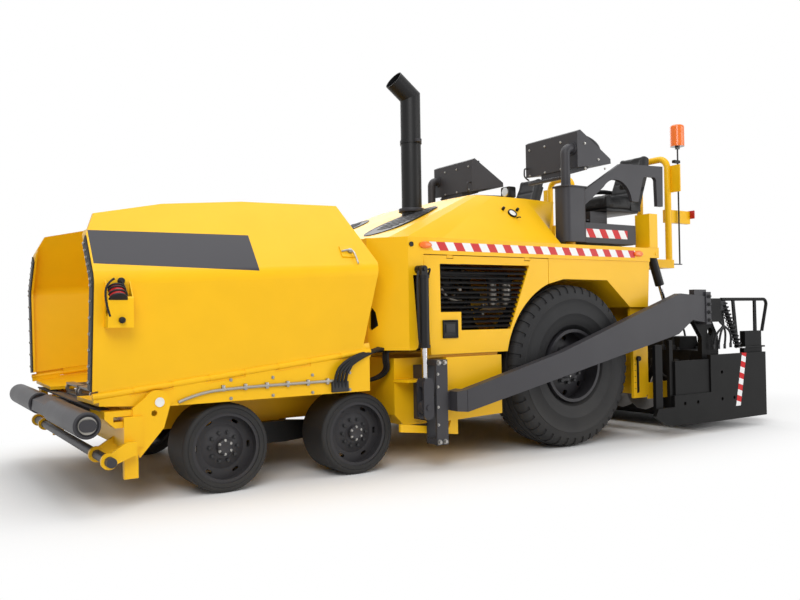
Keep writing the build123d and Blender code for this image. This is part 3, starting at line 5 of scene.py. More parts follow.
import bmesh
import bpy
from mathutils import Matrix, Vector


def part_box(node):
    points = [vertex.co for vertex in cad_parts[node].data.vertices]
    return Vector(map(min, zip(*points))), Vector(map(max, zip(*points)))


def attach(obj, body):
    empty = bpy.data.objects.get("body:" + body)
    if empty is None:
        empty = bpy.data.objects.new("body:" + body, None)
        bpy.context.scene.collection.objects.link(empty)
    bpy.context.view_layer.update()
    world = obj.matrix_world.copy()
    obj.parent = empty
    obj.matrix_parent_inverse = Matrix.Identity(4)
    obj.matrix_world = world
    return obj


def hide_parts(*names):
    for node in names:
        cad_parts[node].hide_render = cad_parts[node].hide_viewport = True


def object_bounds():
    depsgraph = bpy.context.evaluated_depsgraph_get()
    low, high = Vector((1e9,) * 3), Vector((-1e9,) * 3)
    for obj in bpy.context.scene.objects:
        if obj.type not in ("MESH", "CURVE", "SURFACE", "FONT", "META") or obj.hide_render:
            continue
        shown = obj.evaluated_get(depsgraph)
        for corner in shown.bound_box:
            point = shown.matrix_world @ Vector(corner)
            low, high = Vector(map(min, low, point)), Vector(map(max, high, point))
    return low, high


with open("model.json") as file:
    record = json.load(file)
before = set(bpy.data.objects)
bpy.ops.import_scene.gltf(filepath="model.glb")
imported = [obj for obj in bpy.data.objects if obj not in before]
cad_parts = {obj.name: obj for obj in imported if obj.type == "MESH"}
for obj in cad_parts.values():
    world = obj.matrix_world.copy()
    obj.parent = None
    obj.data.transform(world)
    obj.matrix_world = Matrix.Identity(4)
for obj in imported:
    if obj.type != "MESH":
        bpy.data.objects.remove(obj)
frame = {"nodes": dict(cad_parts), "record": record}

cadLow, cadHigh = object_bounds()
nodes = frame["nodes"]
record = frame["record"]
print("frame loaded:", len(nodes), "nodes")

# everything along the machine is measured ahead of the rear axle, heights from the ground
rearAxle = [joint["pos_m"] for joint in record["behaviour"]["joints"] if joint["child"] == "rear_wheel_l"][0]
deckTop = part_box("hood")[0][2]
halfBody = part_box("deck")[1][1]
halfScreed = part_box("screed_extension_l")[1][1]


def ahead(distance):
    return rearAxle[0] + distance


# ---- camera
cameraSpec = {
    "ahead": 5.360, "side": 6.5625, "height": 1.2385,
    "yaw": 0.5808, "pitch": 0.0176, "roll": -0.0156,
    "lens": 36.14, "sensor": 36.0,
}


def makeCamera(spec):
    yaw, pitch, roll = spec["yaw"], spec["pitch"], spec["roll"]
    view = Vector((-math.sin(yaw) * math.cos(pitch), -math.cos(yaw) * math.cos(pitch), math.sin(pitch)))
    level = view.cross(Vector((0, 0, 1))).normalized()
    up = level.cross(view)
    right = level * math.cos(roll) + up * math.sin(roll)
    top = up * math.cos(roll) - level * math.sin(roll)
    turn = Matrix((right, top, -view)).transposed()
    data = bpy.data.cameras.new("studioCamera")
    data.sensor_width = spec["sensor"]
    data.lens = spec["lens"]
    data.clip_end = 200
    camera = bpy.data.objects.new("studioCamera", data)
    place = (ahead(spec["ahead"]), spec["side"], spec["height"])
    camera.matrix_world = Matrix.Translation(place) @ turn.to_4x4()
    bpy.context.scene.collection.objects.link(camera)
    bpy.context.scene.camera = camera


makeCamera(cameraSpec)
print("camera ready")


# ---- shader groups, each built once and placed in many materials
def newGroup(name, inputs, outputs):
    # inputs as name and value, a colour where the value has four parts; outputs as name and kind
    group = bpy.data.node_groups.new(name, "ShaderNodeTree")
    for label, value in inputs.items():
        kind = "Color" if isinstance(value, tuple) else "Float"
        socket = group.interface.new_socket(name=label, in_out="INPUT", socket_type="NodeSocket" + kind)
        socket.default_value = value
    for label, kind in outputs.items():
        group.interface.new_socket(name=label, in_out="OUTPUT", socket_type="NodeSocket" + kind)
    start = group.nodes.new("NodeGroupInput")
    end = group.nodes.new("NodeGroupOutput")
    return group, start, end


# which sockets of a Mix node hold its two colours, its two numbers and the mixed colour
firstColour, secondColour, mixedColour = 6, 7, 2
firstNumber, secondNumber = 2, 3


def addNode(tree, kind, **settings):
    node = tree.nodes.new(kind)
    for key, value in settings.items():
        setattr(node, key, value)
    return node


def addMath(tree, operation, first, second=None, clamp=False):
    # a Math node whose two values are sockets or plain numbers
    node = addNode(tree, "ShaderNodeMath", operation=operation, use_clamp=clamp)
    for slot, value in enumerate((first, second)):
        if value is None:
            continue
        if isinstance(value, (int, float)):
            node.inputs[slot].default_value = value
        else:
            tree.links.new(value, node.inputs[slot])
    return node.outputs[0]


def splitPlace(tree):
    # the piece's own coordinates, and their x, y and z
    place = addNode(tree, "ShaderNodeTexCoord")
    split = addNode(tree, "ShaderNodeSeparateXYZ")
    tree.links.new(place.outputs["Object"], split.inputs[0])
    return place, split.outputs


def makeRoadDust():
    # dust that lies thicker low down, broken up by noise
    group, start, end = newGroup("roadDust", {
        "Colour": (0.8, 0.8, 0.8, 1), "Dust colour": (0.30, 0.27, 0.23, 1), "Amount": 0.3, "Height": 0.9,
        "Roughness": 0.4}, {"Colour": "Color", "Roughness": "Float"})
    link = group.links.new
    place, (x, y, z) = splitPlace(group)
    noise = addNode(group, "ShaderNodeTexNoise")
    noise.inputs["Scale"].default_value = 3.5
    noise.inputs["Detail"].default_value = 6
    link(place.outputs["Object"], noise.inputs["Vector"])
    low = addMath(group, "DIVIDE", z, start.outputs["Height"])
    broken = addMath(group, "MULTIPLY", addMath(group, "SUBTRACT", 1.0, low, True), noise.outputs["Fac"])
    strength = addMath(group, "MULTIPLY", broken, start.outputs["Amount"], True)
    tint = addNode(group, "ShaderNodeMix", data_type="RGBA")
    rough = addNode(group, "ShaderNodeMix", data_type="FLOAT")
    rough.inputs[secondNumber].default_value = 0.85  # roughness of the dust itself
    link(strength, tint.inputs[0])
    link(start.outputs["Colour"], tint.inputs[firstColour])
    link(start.outputs["Dust colour"], tint.inputs[secondColour])
    link(strength, rough.inputs[0])
    link(start.outputs["Roughness"], rough.inputs[firstNumber])
    link(tint.outputs[mixedColour], end.inputs["Colour"])
    link(rough.outputs[0], end.inputs["Roughness"])
    return group


def makeSurfaceGrain():
    # fine noise as a normal, with a little mottling for the roughness
    group, start, end = newGroup("surfaceGrain", {
        "Scale": 200.0, "Depth": 0.0004, "Roughness": 0.4, "Mottle": 0.1},
        {"Normal": "Vector", "Roughness": "Float", "Mask": "Float"})
    link = group.links.new
    place = addNode(group, "ShaderNodeTexCoord")
    fine = addNode(group, "ShaderNodeTexNoise")
    fine.inputs["Detail"].default_value = 3
    wide = addNode(group, "ShaderNodeTexNoise")
    wide.inputs["Scale"].default_value = 4
    wide.inputs["Detail"].default_value = 5
    bump = addNode(group, "ShaderNodeBump")
    bump.inputs["Strength"].default_value = 0.6
    vary = addNode(group, "ShaderNodeMath", operation="MULTIPLY_ADD", use_clamp=True)
    link(place.outputs["Object"], fine.inputs["Vector"])
    link(place.outputs["Object"], wide.inputs["Vector"])
    link(start.outputs["Scale"], fine.inputs["Scale"])
    link(fine.outputs["Fac"], bump.inputs["Height"])
    link(start.outputs["Depth"], bump.inputs["Distance"])
    link(addMath(group, "SUBTRACT", wide.outputs["Fac"], 0.5), vary.inputs[0])
    link(start.outputs["Mottle"], vary.inputs[1])
    link(start.outputs["Roughness"], vary.inputs[2])
    link(bump.outputs[0], end.inputs["Normal"])
    link(vary.outputs[0], end.inputs["Roughness"])
    link(wide.outputs["Fac"], end.inputs["Mask"])
    return group


def makeSideField():
    # 1 inside a four-sided field of the side view, on faces further out than Out
    # that turn outward more than Facing
    group, start, end = newGroup("sideField", {
        "Rear": -10.0, "Rear lean": 0.0, "Front": 10.0, "Front lean": 0.0, "Low": -10.0, "Low rise": 0.0,
        "High": 10.0, "High rise": 0.0, "Out": -1.0, "Facing": -2.0}, {"Mask": "Float"})
    place, (x, y, z) = splitPlace(group)
    sides = ((x, z, "Rear", "Rear lean", "GREATER_THAN"), (x, z, "Front", "Front lean", "LESS_THAN"),
             (z, x, "Low", "Low rise", "GREATER_THAN"), (z, x, "High", "High rise", "LESS_THAN"))
    tests = []
    for value, other, edge, lean, test in sides:
        line = addMath(group, "ADD", addMath(group, "MULTIPLY", other, start.outputs[lean]),
                       start.outputs[edge])
        tests.append(addMath(group, test, value, line))
    tests.append(addMath(group, "GREATER_THAN", addMath(group, "ABSOLUTE", y), start.outputs["Out"]))
    turned = addNode(group, "ShaderNodeSeparateXYZ")
    group.links.new(place.outputs["Normal"], turned.inputs[0])
    outward = addMath(group, "MULTIPLY", turned.outputs["Y"], addMath(group, "SIGN", y, 0.0))
    tests.append(addMath(group, "GREATER_THAN", outward, start.outputs["Facing"]))
    inside = tests[0]
    for test in tests[1:]:
        inside = addMath(group, "MULTIPLY", inside, test)
    group.links.new(inside, end.inputs["Mask"])
    return group


def makeSlantBars():
    # slanting bars: 0 and 1 in turn along the machine
    group, start, end = newGroup("slantBars", {"Pitch": 0.18, "Lean": 0.58, "Start": 0.0}, {"Mask": "Float"})
    _, (x, y, z) = splitPlace(group)
    along = addMath(group, "SUBTRACT", x, addMath(group, "MULTIPLY", z, start.outputs["Lean"]))
    along = addMath(group, "ADD", along, start.outputs["Start"])
    turn = addMath(group, "FRACT", addMath(group, "DIVIDE", along, start.outputs["Pitch"]))
    group.links.new(addMath(group, "GREATER_THAN", turn, 0.5), end.inputs["Mask"])
    return group


roadDust = makeRoadDust()
surfaceGrain = makeSurfaceGrain()
sideField = makeSideField()
slantBars = makeSlantBars()
stripeRed = (0.55, 0.018, 0.020)
stripeWhite = (0.80, 0.80, 0.80)


def placeGroup(tree, group, values):
    node = addNode(tree, "ShaderNodeGroup", node_tree=group)
    for key, value in values.items():
        node.inputs[key].default_value = value
    return node


def makeFinish(name, colour, rough, metal=0.0, coat=0.0, grain=(220.0, 0.0003), mottle=0.12, dust=0.12,
               shade=0.10, gloss=0.25, fields=()):
    # fields: areas in another colour or in stripes, as {"where": sideField values, "colour": ..., and, where
    # they have them, "bars": slantBars values, "metal": value}
    material = bpy.data.materials.new(name)
    material.use_nodes = True
    tree = material.node_tree
    link = tree.links.new
    shader = tree.nodes["Principled BSDF"]
    shader.inputs["Specular IOR Level"].default_value = gloss
    shader.inputs["Coat Weight"].default_value = coat
    shader.inputs["Coat Roughness"].default_value = 0.08
    surface = placeGroup(tree, surfaceGrain, {"Scale": grain[0], "Depth": grain[1], "Roughness": rough,
                                              "Mottle": mottle})
    tone = addNode(tree, "ShaderNodeMix", data_type="RGBA")
    tone.inputs[firstColour].default_value = (*colour, 1)
    tone.inputs[secondColour].default_value = (*[c * (1 - shade) for c in colour], 1)
    link(surface.outputs["Mask"], tone.inputs[0])
    paint = tone.outputs[mixedColour]
    metallic = None
    for field in fields:
        masks = [placeGroup(tree, sideField, where).outputs[0] for where in field["where"]]
        inside = masks[0]
        for mask in masks[1:]:
            inside = addMath(tree, "MAXIMUM", inside, mask)
        layer = addNode(tree, "ShaderNodeMix", data_type="RGBA")
        link(inside, layer.inputs[0])
        link(paint, layer.inputs[firstColour])
        layer.inputs[secondColour].default_value = (*field["colour"], 1)
        if "bars" in field:
            bars = placeGroup(tree, slantBars, field["bars"])
            twoTone = addNode(tree, "ShaderNodeMix", data_type="RGBA")
            link(bars.outputs[0], twoTone.inputs[0])
            twoTone.inputs[firstColour].default_value = (*stripeWhite, 1)
            twoTone.inputs[secondColour].default_value = (*stripeRed, 1)
            link(twoTone.outputs[mixedColour], layer.inputs[secondColour])
        paint = layer.outputs[mixedColour]
        if "metal" in field:
            blend = addNode(tree, "ShaderNodeMix", data_type="FLOAT")
            link(inside, blend.inputs[0])
            blend.inputs[firstNumber].default_value = metal
            blend.inputs[secondNumber].default_value = field["metal"]
            metallic = blend.outputs[0]
    if metallic is None:
        shader.inputs["Metallic"].default_value = metal
    else:
        link(metallic, shader.inputs["Metallic"])
    film = placeGroup(tree, roadDust, {"Amount": dust})
    link(paint, film.inputs["Colour"])
    link(surface.outputs["Roughness"], film.inputs["Roughness"])
    link(film.outputs["Colour"], shader.inputs["Base Color"])
    link(film.outputs["Roughness"], shader.inputs["Roughness"])
    link(surface.outputs["Normal"], shader.inputs["Normal"])
    return material


yellow = (0.90, 0.50, 0.004)
grey = (0.040, 0.039, 0.044)
bandGrey = (0.038, 0.037, 0.043)
black = (0.007, 0.007, 0.0075)
deepBlack = (0.0030, 0.0030, 0.0032)
amber = (0.90, 0.17, 0.004)
brightSteel = (0.62, 0.62, 0.64)
yellowFilm = {"coat": 0.06, "dust": 0.05}
blackFilm = {"dust": 0.02, "gloss": 0.14}
yellowPaint = makeFinish("yellowPaint", yellow, rough=0.40, **yellowFilm)
greyPaint = makeFinish("greyPaint", grey, rough=0.45, dust=0.06)
blackPaint = makeFinish("blackPaint", black, rough=0.42, dust=0.04)
wheelPaint = makeFinish("wheelPaint", (0.030, 0.029, 0.033), rough=0.42, dust=0.08)
tyreRubber = makeFinish("tyreRubber", (0.016, 0.016, 0.017), rough=0.62, grain=(150.0, 0.0006), dust=0.10)
chromeRod = makeFinish("chromeRod", brightSteel, rough=0.14, metal=1.0, dust=0.0, shade=0.05)
wornSteel = makeFinish("wornSteel", (0.28, 0.27, 0.26), rough=0.42, metal=0.9, dust=0.15, shade=0.3)
zincBolt = makeFinish("zincBolt", (0.38, 0.37, 0.35), rough=0.35, metal=0.9, dust=0.0, shade=0.2)
seatVinyl = makeFinish("seatVinyl", (0.014, 0.014, 0.015), rough=0.50, grain=(420.0, 0.0005), dust=0.0)
hoseRubber = makeFinish("hoseRubber", (0.012, 0.012, 0.013), rough=0.55, grain=(300.0, 0.0004), dust=0.0)
castIron = makeFinish("castIron", (0.050, 0.050, 0.052), rough=0.6, metal=0.3, grain=(120.0, 0.0010),
                      dust=0.0, shade=0.4)
bareAlloy = makeFinish("bareAlloy", (0.42, 0.40, 0.36), rough=0.38, metal=0.85, grain=(120.0, 0.0006),
                       dust=0.0, shade=0.3)
redPaint = makeFinish("redPaint", (0.45, 0.012, 0.012), rough=0.35, coat=0.3, dust=0.0)
whiteMark = makeFinish("whiteMark", (0.78, 0.78, 0.76), rough=0.35, coat=0.2, dust=0.0)
amberLens = makeFinish("amberLens", amber, rough=0.18, coat=0.6, dust=0.0)
lampGlass = makeFinish("lampGlass", (0.55, 0.58, 0.60), rough=0.10, metal=0.6, coat=0.8, grain=(60.0, 0.002),
                       dust=0.0)

beltBars = {"Pitch": 0.176, "Lean": 0.58, "Start": 0.046}
bandTop = {"High": 1.8435, "High rise": -0.005, "Out": 0.80, "Facing": 0.1}
wingPaint = makeFinish("wingPaint", yellow, rough=0.40, **yellowFilm, fields=[
    {"where": [{"Rear": ahead(3.03), "Rear lean": 0.02, "Front": ahead(4.178), "Low": 1.497,
                "Low rise": 0.028, **bandTop},
               {"Rear": ahead(2.80), "Front": ahead(3.05), "Low": 2.058, "Low rise": -0.075, **bandTop}],
     "colour": bandGrey}])
beltPaint = makeFinish("beltPaint", yellow, rough=0.40, **yellowFilm, fields=[
    {"where": [{"Rear": ahead(-0.857), "Front": ahead(1.585) - beltBars["Lean"] * 1.79,
                "Front lean": beltBars["Lean"], "Low": 1.752, "High": 1.822, "Out": halfBody - 0.004}],
     "colour": stripeRed, "bars": beltBars}])
stationPaint = makeFinish("stationPaint", grey, rough=0.45, dust=0.04, fields=[
    {"where": [{"Rear": ahead(-0.860), "Front": ahead(-0.285), "Low": deckTop + 0.085,
                "High": deckTop + 0.168, "Out": halfBody - 0.092}],
     "colour": stripeRed, "bars": beltBars}])
# the grille's rear edge goes from 0.745 ahead at 1.097 high to 0.517 ahead at 1.649 high
grilleLean = (0.517 - 0.745) / (1.649 - 1.097)
doorPaint = makeFinish("doorPaint", yellow, rough=0.40, **yellowFilm, fields=[
    {"where": [{"Rear": ahead(0.747) - grilleLean * 1.097, "Rear lean": grilleLean, "Front": ahead(1.279),
                "Low": 1.099, "High": 1.647},
               {"Rear": ahead(1.2), "Front": ahead(1.491), "Low": 1.250, "High": 1.645}],
     "colour": black}])
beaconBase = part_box("beacon")[1][2] - 0.235
beaconFinish = makeFinish("beaconFinish", amber, rough=0.2, coat=0.5, dust=0.0, fields=[
    {"where": [{"High": beaconBase}], "colour": (0.05, 0.05, 0.05)}])


def makeRodFinish(name, sleeveTop):
    # bright rod above its painted sleeve
    return makeFinish(name, brightSteel, rough=0.16, metal=1.0, dust=0.0, fields=[
        {"where": [{"High": sleeveTop}], "colour": grey, "metal": 0.0}])


forkFinish = makeRodFinish("forkFinish", 0.735)
liftRodFinish = makeRodFinish("liftRodFinish", 1.345)
screedPaint = makeFinish("screedPaint", deepBlack, rough=0.52, **blackFilm)
extensionPaint = makeFinish("extensionPaint", deepBlack, rough=0.52, **blackFilm, fields=[
    {"where": [{"Rear": ahead(-2.090), "Rear lean": -0.22, "Front": ahead(-2.012), "Front lean": -0.22,
                "Low": 0.24, "High": 0.84, "Out": 1.40}],
     "colour": stripeRed, "bars": {"Pitch": 0.42, "Lean": 3.4}}])
walkwayPaint = makeFinish("walkwayPaint", black, rough=0.5, fields=[
    {"where": [{"Out": halfScreed - 0.30}], "colour": stripeRed, "bars": {"Pitch": 0.10, "Lean": 0.0}}])

finishOf = {
    "yellow_paint": yellowPaint, "grey_paint": greyPaint, "black_paint": blackPaint, "rim_paint": wheelPaint,
    "tyre": tyreRubber, "chrome_rod": chromeRod, "worn_steel": wornSteel, "seat_vinyl": seatVinyl,
    "amber_lens": amberLens,
}
ownFinish = {
    "hopper_wing": wingPaint, "deck": beltPaint, "station_frame": stationPaint, "engine_door": doorPaint,
    "beacon": beaconFinish, "tow_block": forkFinish, "lift_rod": liftRodFinish, "walkway": walkwayPaint,
    "engine_block": castIron, "lift_barrel": blackPaint, "screed_frame": screedPaint,
    "screed_extension": extensionPaint,
}
slotOf = {row["node"]: row["material_slot"] for row in record["subparts"]}
for name, node in nodes.items():
    stem = name[:-2] if name[-2:] in ("_l", "_r") else name
    node.data.materials.clear()
    node.data.materials.append(ownFinish.get(stem, finishOf[slotOf[name]]))
    bpy.ops.object.select_all(action="DESELECT")
    node.select_set(True)
    bpy.context.view_layer.objects.active = node
    bpy.ops.object.shade_smooth_by_angle(angle=math.radians(32))
print("finishes on the frame ready")


# ---- modelling helpers
def letGo():
    bpy.ops.object.select_all(action="DESELECT")


def hold(piece):
    letGo()
    piece.select_set(True)
    bpy.context.view_layer.objects.active = piece


def closeEdit():
    bpy.ops.object.mode_set(mode="OBJECT")


def openEdit(piece, mode="FACE", everything=False):
    hold(piece)
    bpy.ops.object.mode_set(mode="EDIT")
    bpy.ops.mesh.select_mode(type=mode)
    bpy.ops.mesh.select_all(action="SELECT" if everything else "DESELECT")
    return bmesh.from_edit_mesh(piece.data)


def openFaces(piece, wanted):
    # edit mode with only the faces chosen that wanted(centre, normal) says
    mesh = openEdit(piece)
    for face in mesh.faces:
        if wanted(face.calc_center_median(), face.normal):
            face.select_set(True)
    bmesh.update_edit_mesh(piece.data)


def sink(piece, wanted, inset, move):
    # the wanted faces inset, and what is left of them moved
    openFaces(piece, wanted)
    bpy.ops.mesh.inset(thickness=inset)
    bpy.ops.transform.translate(value=move)
    closeEdit()


def bevelSharp(piece, width, steps=2, limit=0.6):
    mesh = openEdit(piece, "EDGE")
    for edge in mesh.edges:
        if edge.calc_face_angle(0) > limit:
            edge.select_set(True)
    bmesh.update_edit_mesh(piece.data)
    bpy.ops.mesh.bevel(offset=width, segments=steps, affect="EDGES")
    closeEdit()


def nameIt(name):
    piece = bpy.context.object
    bpy.ops.object.transform_apply(location=True, rotation=True, scale=True)
    piece.name = name
    piece.data.name = name
    return piece


def addBlock(name, low, high, edge=0.004):
    letGo()
    low, high = Vector(low), Vector(high)
    bpy.ops.mesh.primitive_cube_add(size=1, location=(low + high) / 2, scale=high - low)
    piece = nameIt(name)
    bevelSharp(piece, edge)
    return piece


turnOf = {"X": (0, math.pi / 2, 0), "Y": (-math.pi / 2, 0, 0), "Z": (0, 0, 0)}
axisOf = {"X": Vector((1, 0, 0)), "Y": Vector((0, 1, 0)), "Z": Vector((0, 0, 1))}


def addDrum(name, place, radius, length, along="Z", sides=28, edge=0.003, dishes=()):
    # a turned piece whose foot is at place; dishes are (inset, depth) steps in its far end
    letGo()
    axis = axisOf[along]
    centre = Vector(place) + axis * (length / 2)
    bpy.ops.mesh.primitive_cylinder_add(vertices=sides, radius=radius, depth=length, location=centre,
                                        rotation=turnOf[along])
    piece = nameIt(name)

    def inFarEnd(c, n):
        height = (c - centre).dot(axis)
        off = (c - centre - axis * height).length
        return n.dot(axis) > 0.95 and height > -length / 4 and off < radius * 0.2

    for inset, depth in dishes:
        sink(piece, inFarEnd, inset, axis * depth)
    if edge:
        bevelSharp(piece, edge)
    return piece


def addTube(name, curve):
    # the curve's object, made a mesh
    piece = bpy.data.objects.new(name, curve)
    bpy.context.scene.collection.objects.link(piece)
    hold(piece)
    bpy.ops.object.convert(target="MESH")
    return bpy.context.object


def addHose(name, points, radius, sides=3):
    curve = bpy.data.curves.new(name, "CURVE")
    curve.dimensions = "3D"
    spline = curve.splines.new("NURBS")
    spline.points.add(len(points) - 1)
    for point, place in zip(spline.points, points):
        point.co = (*place, 1)
    spline.order_u = 3
    spline.use_endpoint_u = True
    spline.resolution_u = 8
    curve.bevel_depth = radius
    curve.bevel_resolution = sides
    curve.use_fill_caps = True
    return addTube(name, curve)


def addPlate(name, outline, thickness, order=2, edge=0.001):
    # flat plate on z = 0 and up, from its outline in x and y
    curve = bpy.data.curves.new(name, "CURVE")
    curve.dimensions = "2D"
    curve.fill_mode = "BOTH"
    curve.extrude = thickness / 2 - edge
    curve.bevel_depth = edge
    spline = curve.splines.new("NURBS" if order > 2 else "POLY")
    spline.points.add(len(outline) - 1)
    for point, place in zip(spline.points, outline):
        point.co = (*place, 0, 1)
    spline.use_cyclic_u = True
    if order > 2:
        spline.order_u = order
        spline.resolution_u = 8
    piece = addTube(name, curve)
    piece.data.transform(Matrix.Translation((0, 0, thickness / 2)))
    openEdit(piece, "VERT", True)
    bpy.ops.mesh.remove_doubles(threshold=0.00001)
    bpy.ops.mesh.normals_make_consistent(inside=False)
    closeEdit()
    return piece


def shifted(place, steps):
    # points given as steps away from a place
    return [tuple(start + step for start, step in zip(place, away)) for away in steps]


def copyOf(piece, name):
    copy = piece.copy()
    copy.data = piece.data.copy()
    copy.name = name
    copy.data.name = name
    bpy.context.scene.collection.objects.link(copy)
    return copy


def facing(place, normal, up="Y"):
    # where a piece built on z = 0 goes, its top turned to the normal
    return Matrix.Translation(place) @ Vector(normal).to_track_quat("Z", up).to_matrix().to_4x4()


def joinAll(name, pieces):
    letGo()
    for piece in pieces:
        piece.select_set(True)
    bpy.context.view_layer.objects.active = pieces[0]
    bpy.ops.object.join()
    joined = bpy.context.object
    joined.name = name
    joined.data.name = name
    return joined


def scatter(name, pattern, spots):
    # the pattern copied to each (place, normal), each copy with its own mesh, then joined
    copies = []
    for place, normal in spots:
        copy = copyOf(pattern, name)
        copy.data.transform(facing(place, normal))
        copies.append(copy)
    return joinAll(name, copies)


def dress(piece, finish, body, angle=32):
    piece.data.materials.clear()
    piece.data.materials.append(finish)
    hold(piece)
    bpy.ops.object.shade_smooth_by_angle(angle=math.radians(angle))
    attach(piece, body)
    return piece


def mirrored(piece, name):
    copy = copyOf(piece, name)
    copy.data.transform(Matrix.Scale(-1, 4, (0, 1, 0)))
    copy.data.flip_normals()
    return copy


def dressPair(piece, finish, body, angle=32):
    # the left-hand piece, named _l, and its mirror image on the right
    other = mirrored(piece, piece.name[:-2] + "_r")
    dress(piece, finish, body, angle)
    dress(other, finish, body[:-2] + "_r" if body.endswith("_l") else body, angle)
    return piece, other


seated = 0.001  # fixed pieces stand this deep in what carries them


def makeBolt(radius, height):
    # hexagon head on its washer, built on z = 0
    washer = addDrum("boltWasher", (0, 0, -seated), radius * 1.35, radius * 0.35 + seated, sides=14, edge=0)
    head = addDrum("boltHead", (0, 0, radius * 0.3), radius, height, sides=6, edge=0)
    sink(head, lambda c, n: n.z > 0.9, radius * 0.15, (0, 0, radius * 0.12))
    return joinAll("bolt", [washer, head])


smallBolt = makeBolt(radius=0.009, height=0.008)
wheelBolt = makeBolt(radius=0.015, height=0.020)
clip = addBlock("pipeClip", (-0.012, -0.022, -0.002), (0.012, 0.022, 0.022), edge=0.004)
patterns = [smallBolt, wheelBolt, clip]
print("helpers and patterns ready")

# ---- hopper wings: rubber along the front edge, latch, stowed reel
wingSpec = {
    "foot": (1.176, 0.772), "bend": (1.262, 1.500), "lip": (1.046, 1.790),
    "rubberWidth": 0.088, "rubberThickness": 0.010, "rubberFront": ahead(4.190), "rubberOff": 0.006,
    "bendReach": 0.03, "bendRound": 0.008, "lowerBolts": 7, "upperBolts": 6,
    "latch": (ahead(2.300), 1.163, 1.722), "latchNormal": (0.03, 0.82, 0.57), "latchThickness": 0.010,
    "latchOutline": [(-0.055, -0.050), (0.055, -0.050), (0.055, 0.020), (0.020, 0.052), (-0.055, 0.052)],
    "hook": [(-0.05, 0.0, 0.012), (-0.02, 0.0, 0.03), (0.03, 0.0, 0.03), (0.05, -0.03, 0.03),
             (0.055, -0.12, 0.018)],
    "hookRadius": 0.007, "seat": (0.02, 0.0, 0.008), "seatRadius": 0.020, "seatHeight": 0.022,
}


def wingRubber(spec):
    # the strip follows the wing's front edge from foot to bend to lip, given as side and height
    foot, bend, lip = [Vector(spec[key]) for key in ("foot", "bend", "lip")]
    lower = (bend - foot).normalized()
    upper = (lip - bend).normalized()
    inLower, inUpper = Vector((-lower.y, lower.x)), Vector((-upper.y, upper.x))
    inBend = (inLower + inUpper).normalized() / math.cos(lower.angle(upper) / 2)
    width, off, reach = spec["rubberWidth"], spec["rubberOff"], spec["bendReach"]
    outer = [foot + inLower * off, bend + inBend * off - lower * reach,
             bend + inBend * (off + spec["bendRound"]), bend + inBend * off + upper * reach,
             lip + inUpper * off]
    inner = [point + side * width for point, side in zip(outer, (inLower, inBend, inBend, inBend, inUpper))]
    strip = addPlate("wing_rubber_l", [tuple(p) for p in outer + inner[::-1]], spec["rubberThickness"])
    # its x and y become y and z, its top faces forward
    strip.data.transform(Matrix(((0, 0, 1, spec["rubberFront"]), (1, 0, 0, 0), (0, 1, 0, 0), (0, 0, 0, 1))))
    dressPair(strip, hoseRubber, "wing_l")
    spots = []
    for start, end, inward, count in ((foot, bend, inLower, spec["lowerBolts"]),
                                      (bend, lip, inUpper, spec["upperBolts"])):
        for k in range(count):
            spot = start.lerp(end, (k + 0.5) / count) + inward * (off + width / 2)
            spots.append(((spec["rubberFront"] + spec["rubberThickness"], spot.x, spot.y), (1, 0, 0)))
    dressPair(scatter("wing_rubber_bolts_l", smallBolt, spots), zincBolt, "wing_l")


sealSpec = {"front": ahead(4.150), "rear": ahead(2.110), "radius": 0.0195, "thickness": 0.008,
            "above": 0.066, "below": 0.045}


def wingSeal(spec):
    # a tube on the hinge line, a strip above it on the wing and one below it on the hopper:
    # together they close the slot under the wing
    hinge = [joint for joint in record["behaviour"]["joints"] if joint["name"] == "wing_fold_l"][0]
    place, axis = Vector(hinge["pos_m"]), Vector(hinge["axis"])
    along = Matrix.Translation(place) @ Matrix.Rotation(math.atan2(axis.z, -axis.x), 4, "Y")
    front, rear = [(x - place.x) / -axis.x for x in (spec["front"], spec["rear"])]
    half = spec["thickness"] / 2
    tube = addHose("hingeTube", [(front, 0, 0), ((front + rear) / 2, 0, 0), (rear, 0, 0)], spec["radius"])
    upper = addBlock("upperStrip", (rear, -half, spec["radius"] * 0.8), (front, half, spec["above"]),
                     edge=0.002)
    lower = addBlock("wing_sill_strip_l", (rear, -half, -spec["below"]),
                     (front, half, -spec["radius"] - seated), edge=0.002)
    for piece in (tube, upper, lower):
        piece.data.transform(along)
    dressPair(joinAll("wing_hinge_strip_l", [tube, upper]), yellowPaint, "wing_l")
    dressPair(lower, yellowPaint, "tractor")


def wingLatch(spec):
    plate = addPlate("wing_latch_l", spec["latchOutline"], spec["latchThickness"])
    hook = addHose("latchHook", spec["hook"], spec["hookRadius"])
    seat = addDrum("latchSeat", spec["seat"], spec["seatRadius"], spec["seatHeight"])
    turn = facing(spec["latch"], spec["latchNormal"])
    for piece in (plate, hook, seat):
        piece.data.transform(turn)
    dressPair(plate, yellowPaint, "wing_l")
    dressPair(joinAll("wing_latch_hook_l", [hook, seat]), zincBolt, "wing_l")


reelSpec = {
    "centre": (ahead(4.062), 1.303, 1.392), "radius": 0.052, "length": 0.085, "lean": 0.7,
    "dishes": ((0.012, -0.010), (0.014, 0.006)),
    "rimLevels": (-0.5, -0.12, 0.26, 0.5), "rimOut": 0.008, "rimHeight": 0.012,
    "strap": [(0.02, 0.02, 0.10), (0.075, 0.03, 0.07), (0.080, 0.035, -0.05), (0.05, 0.03, -0.14)],
    "strapRadius": 0.007,
    "tail": [(-0.03, -0.01, 0.09), (-0.06, 0.01, 0.03), (-0.068, 0.02, -0.06)], "tailRadius": 0.006,
    "button": (-0.035, -0.045, 0.088), "buttonRadius": 0.022, "buttonHeight": 0.030,
    "knob": (-0.020, 0.0315, -0.164), "knobRadius": 0.021, "knobHeight": 0.026,
}


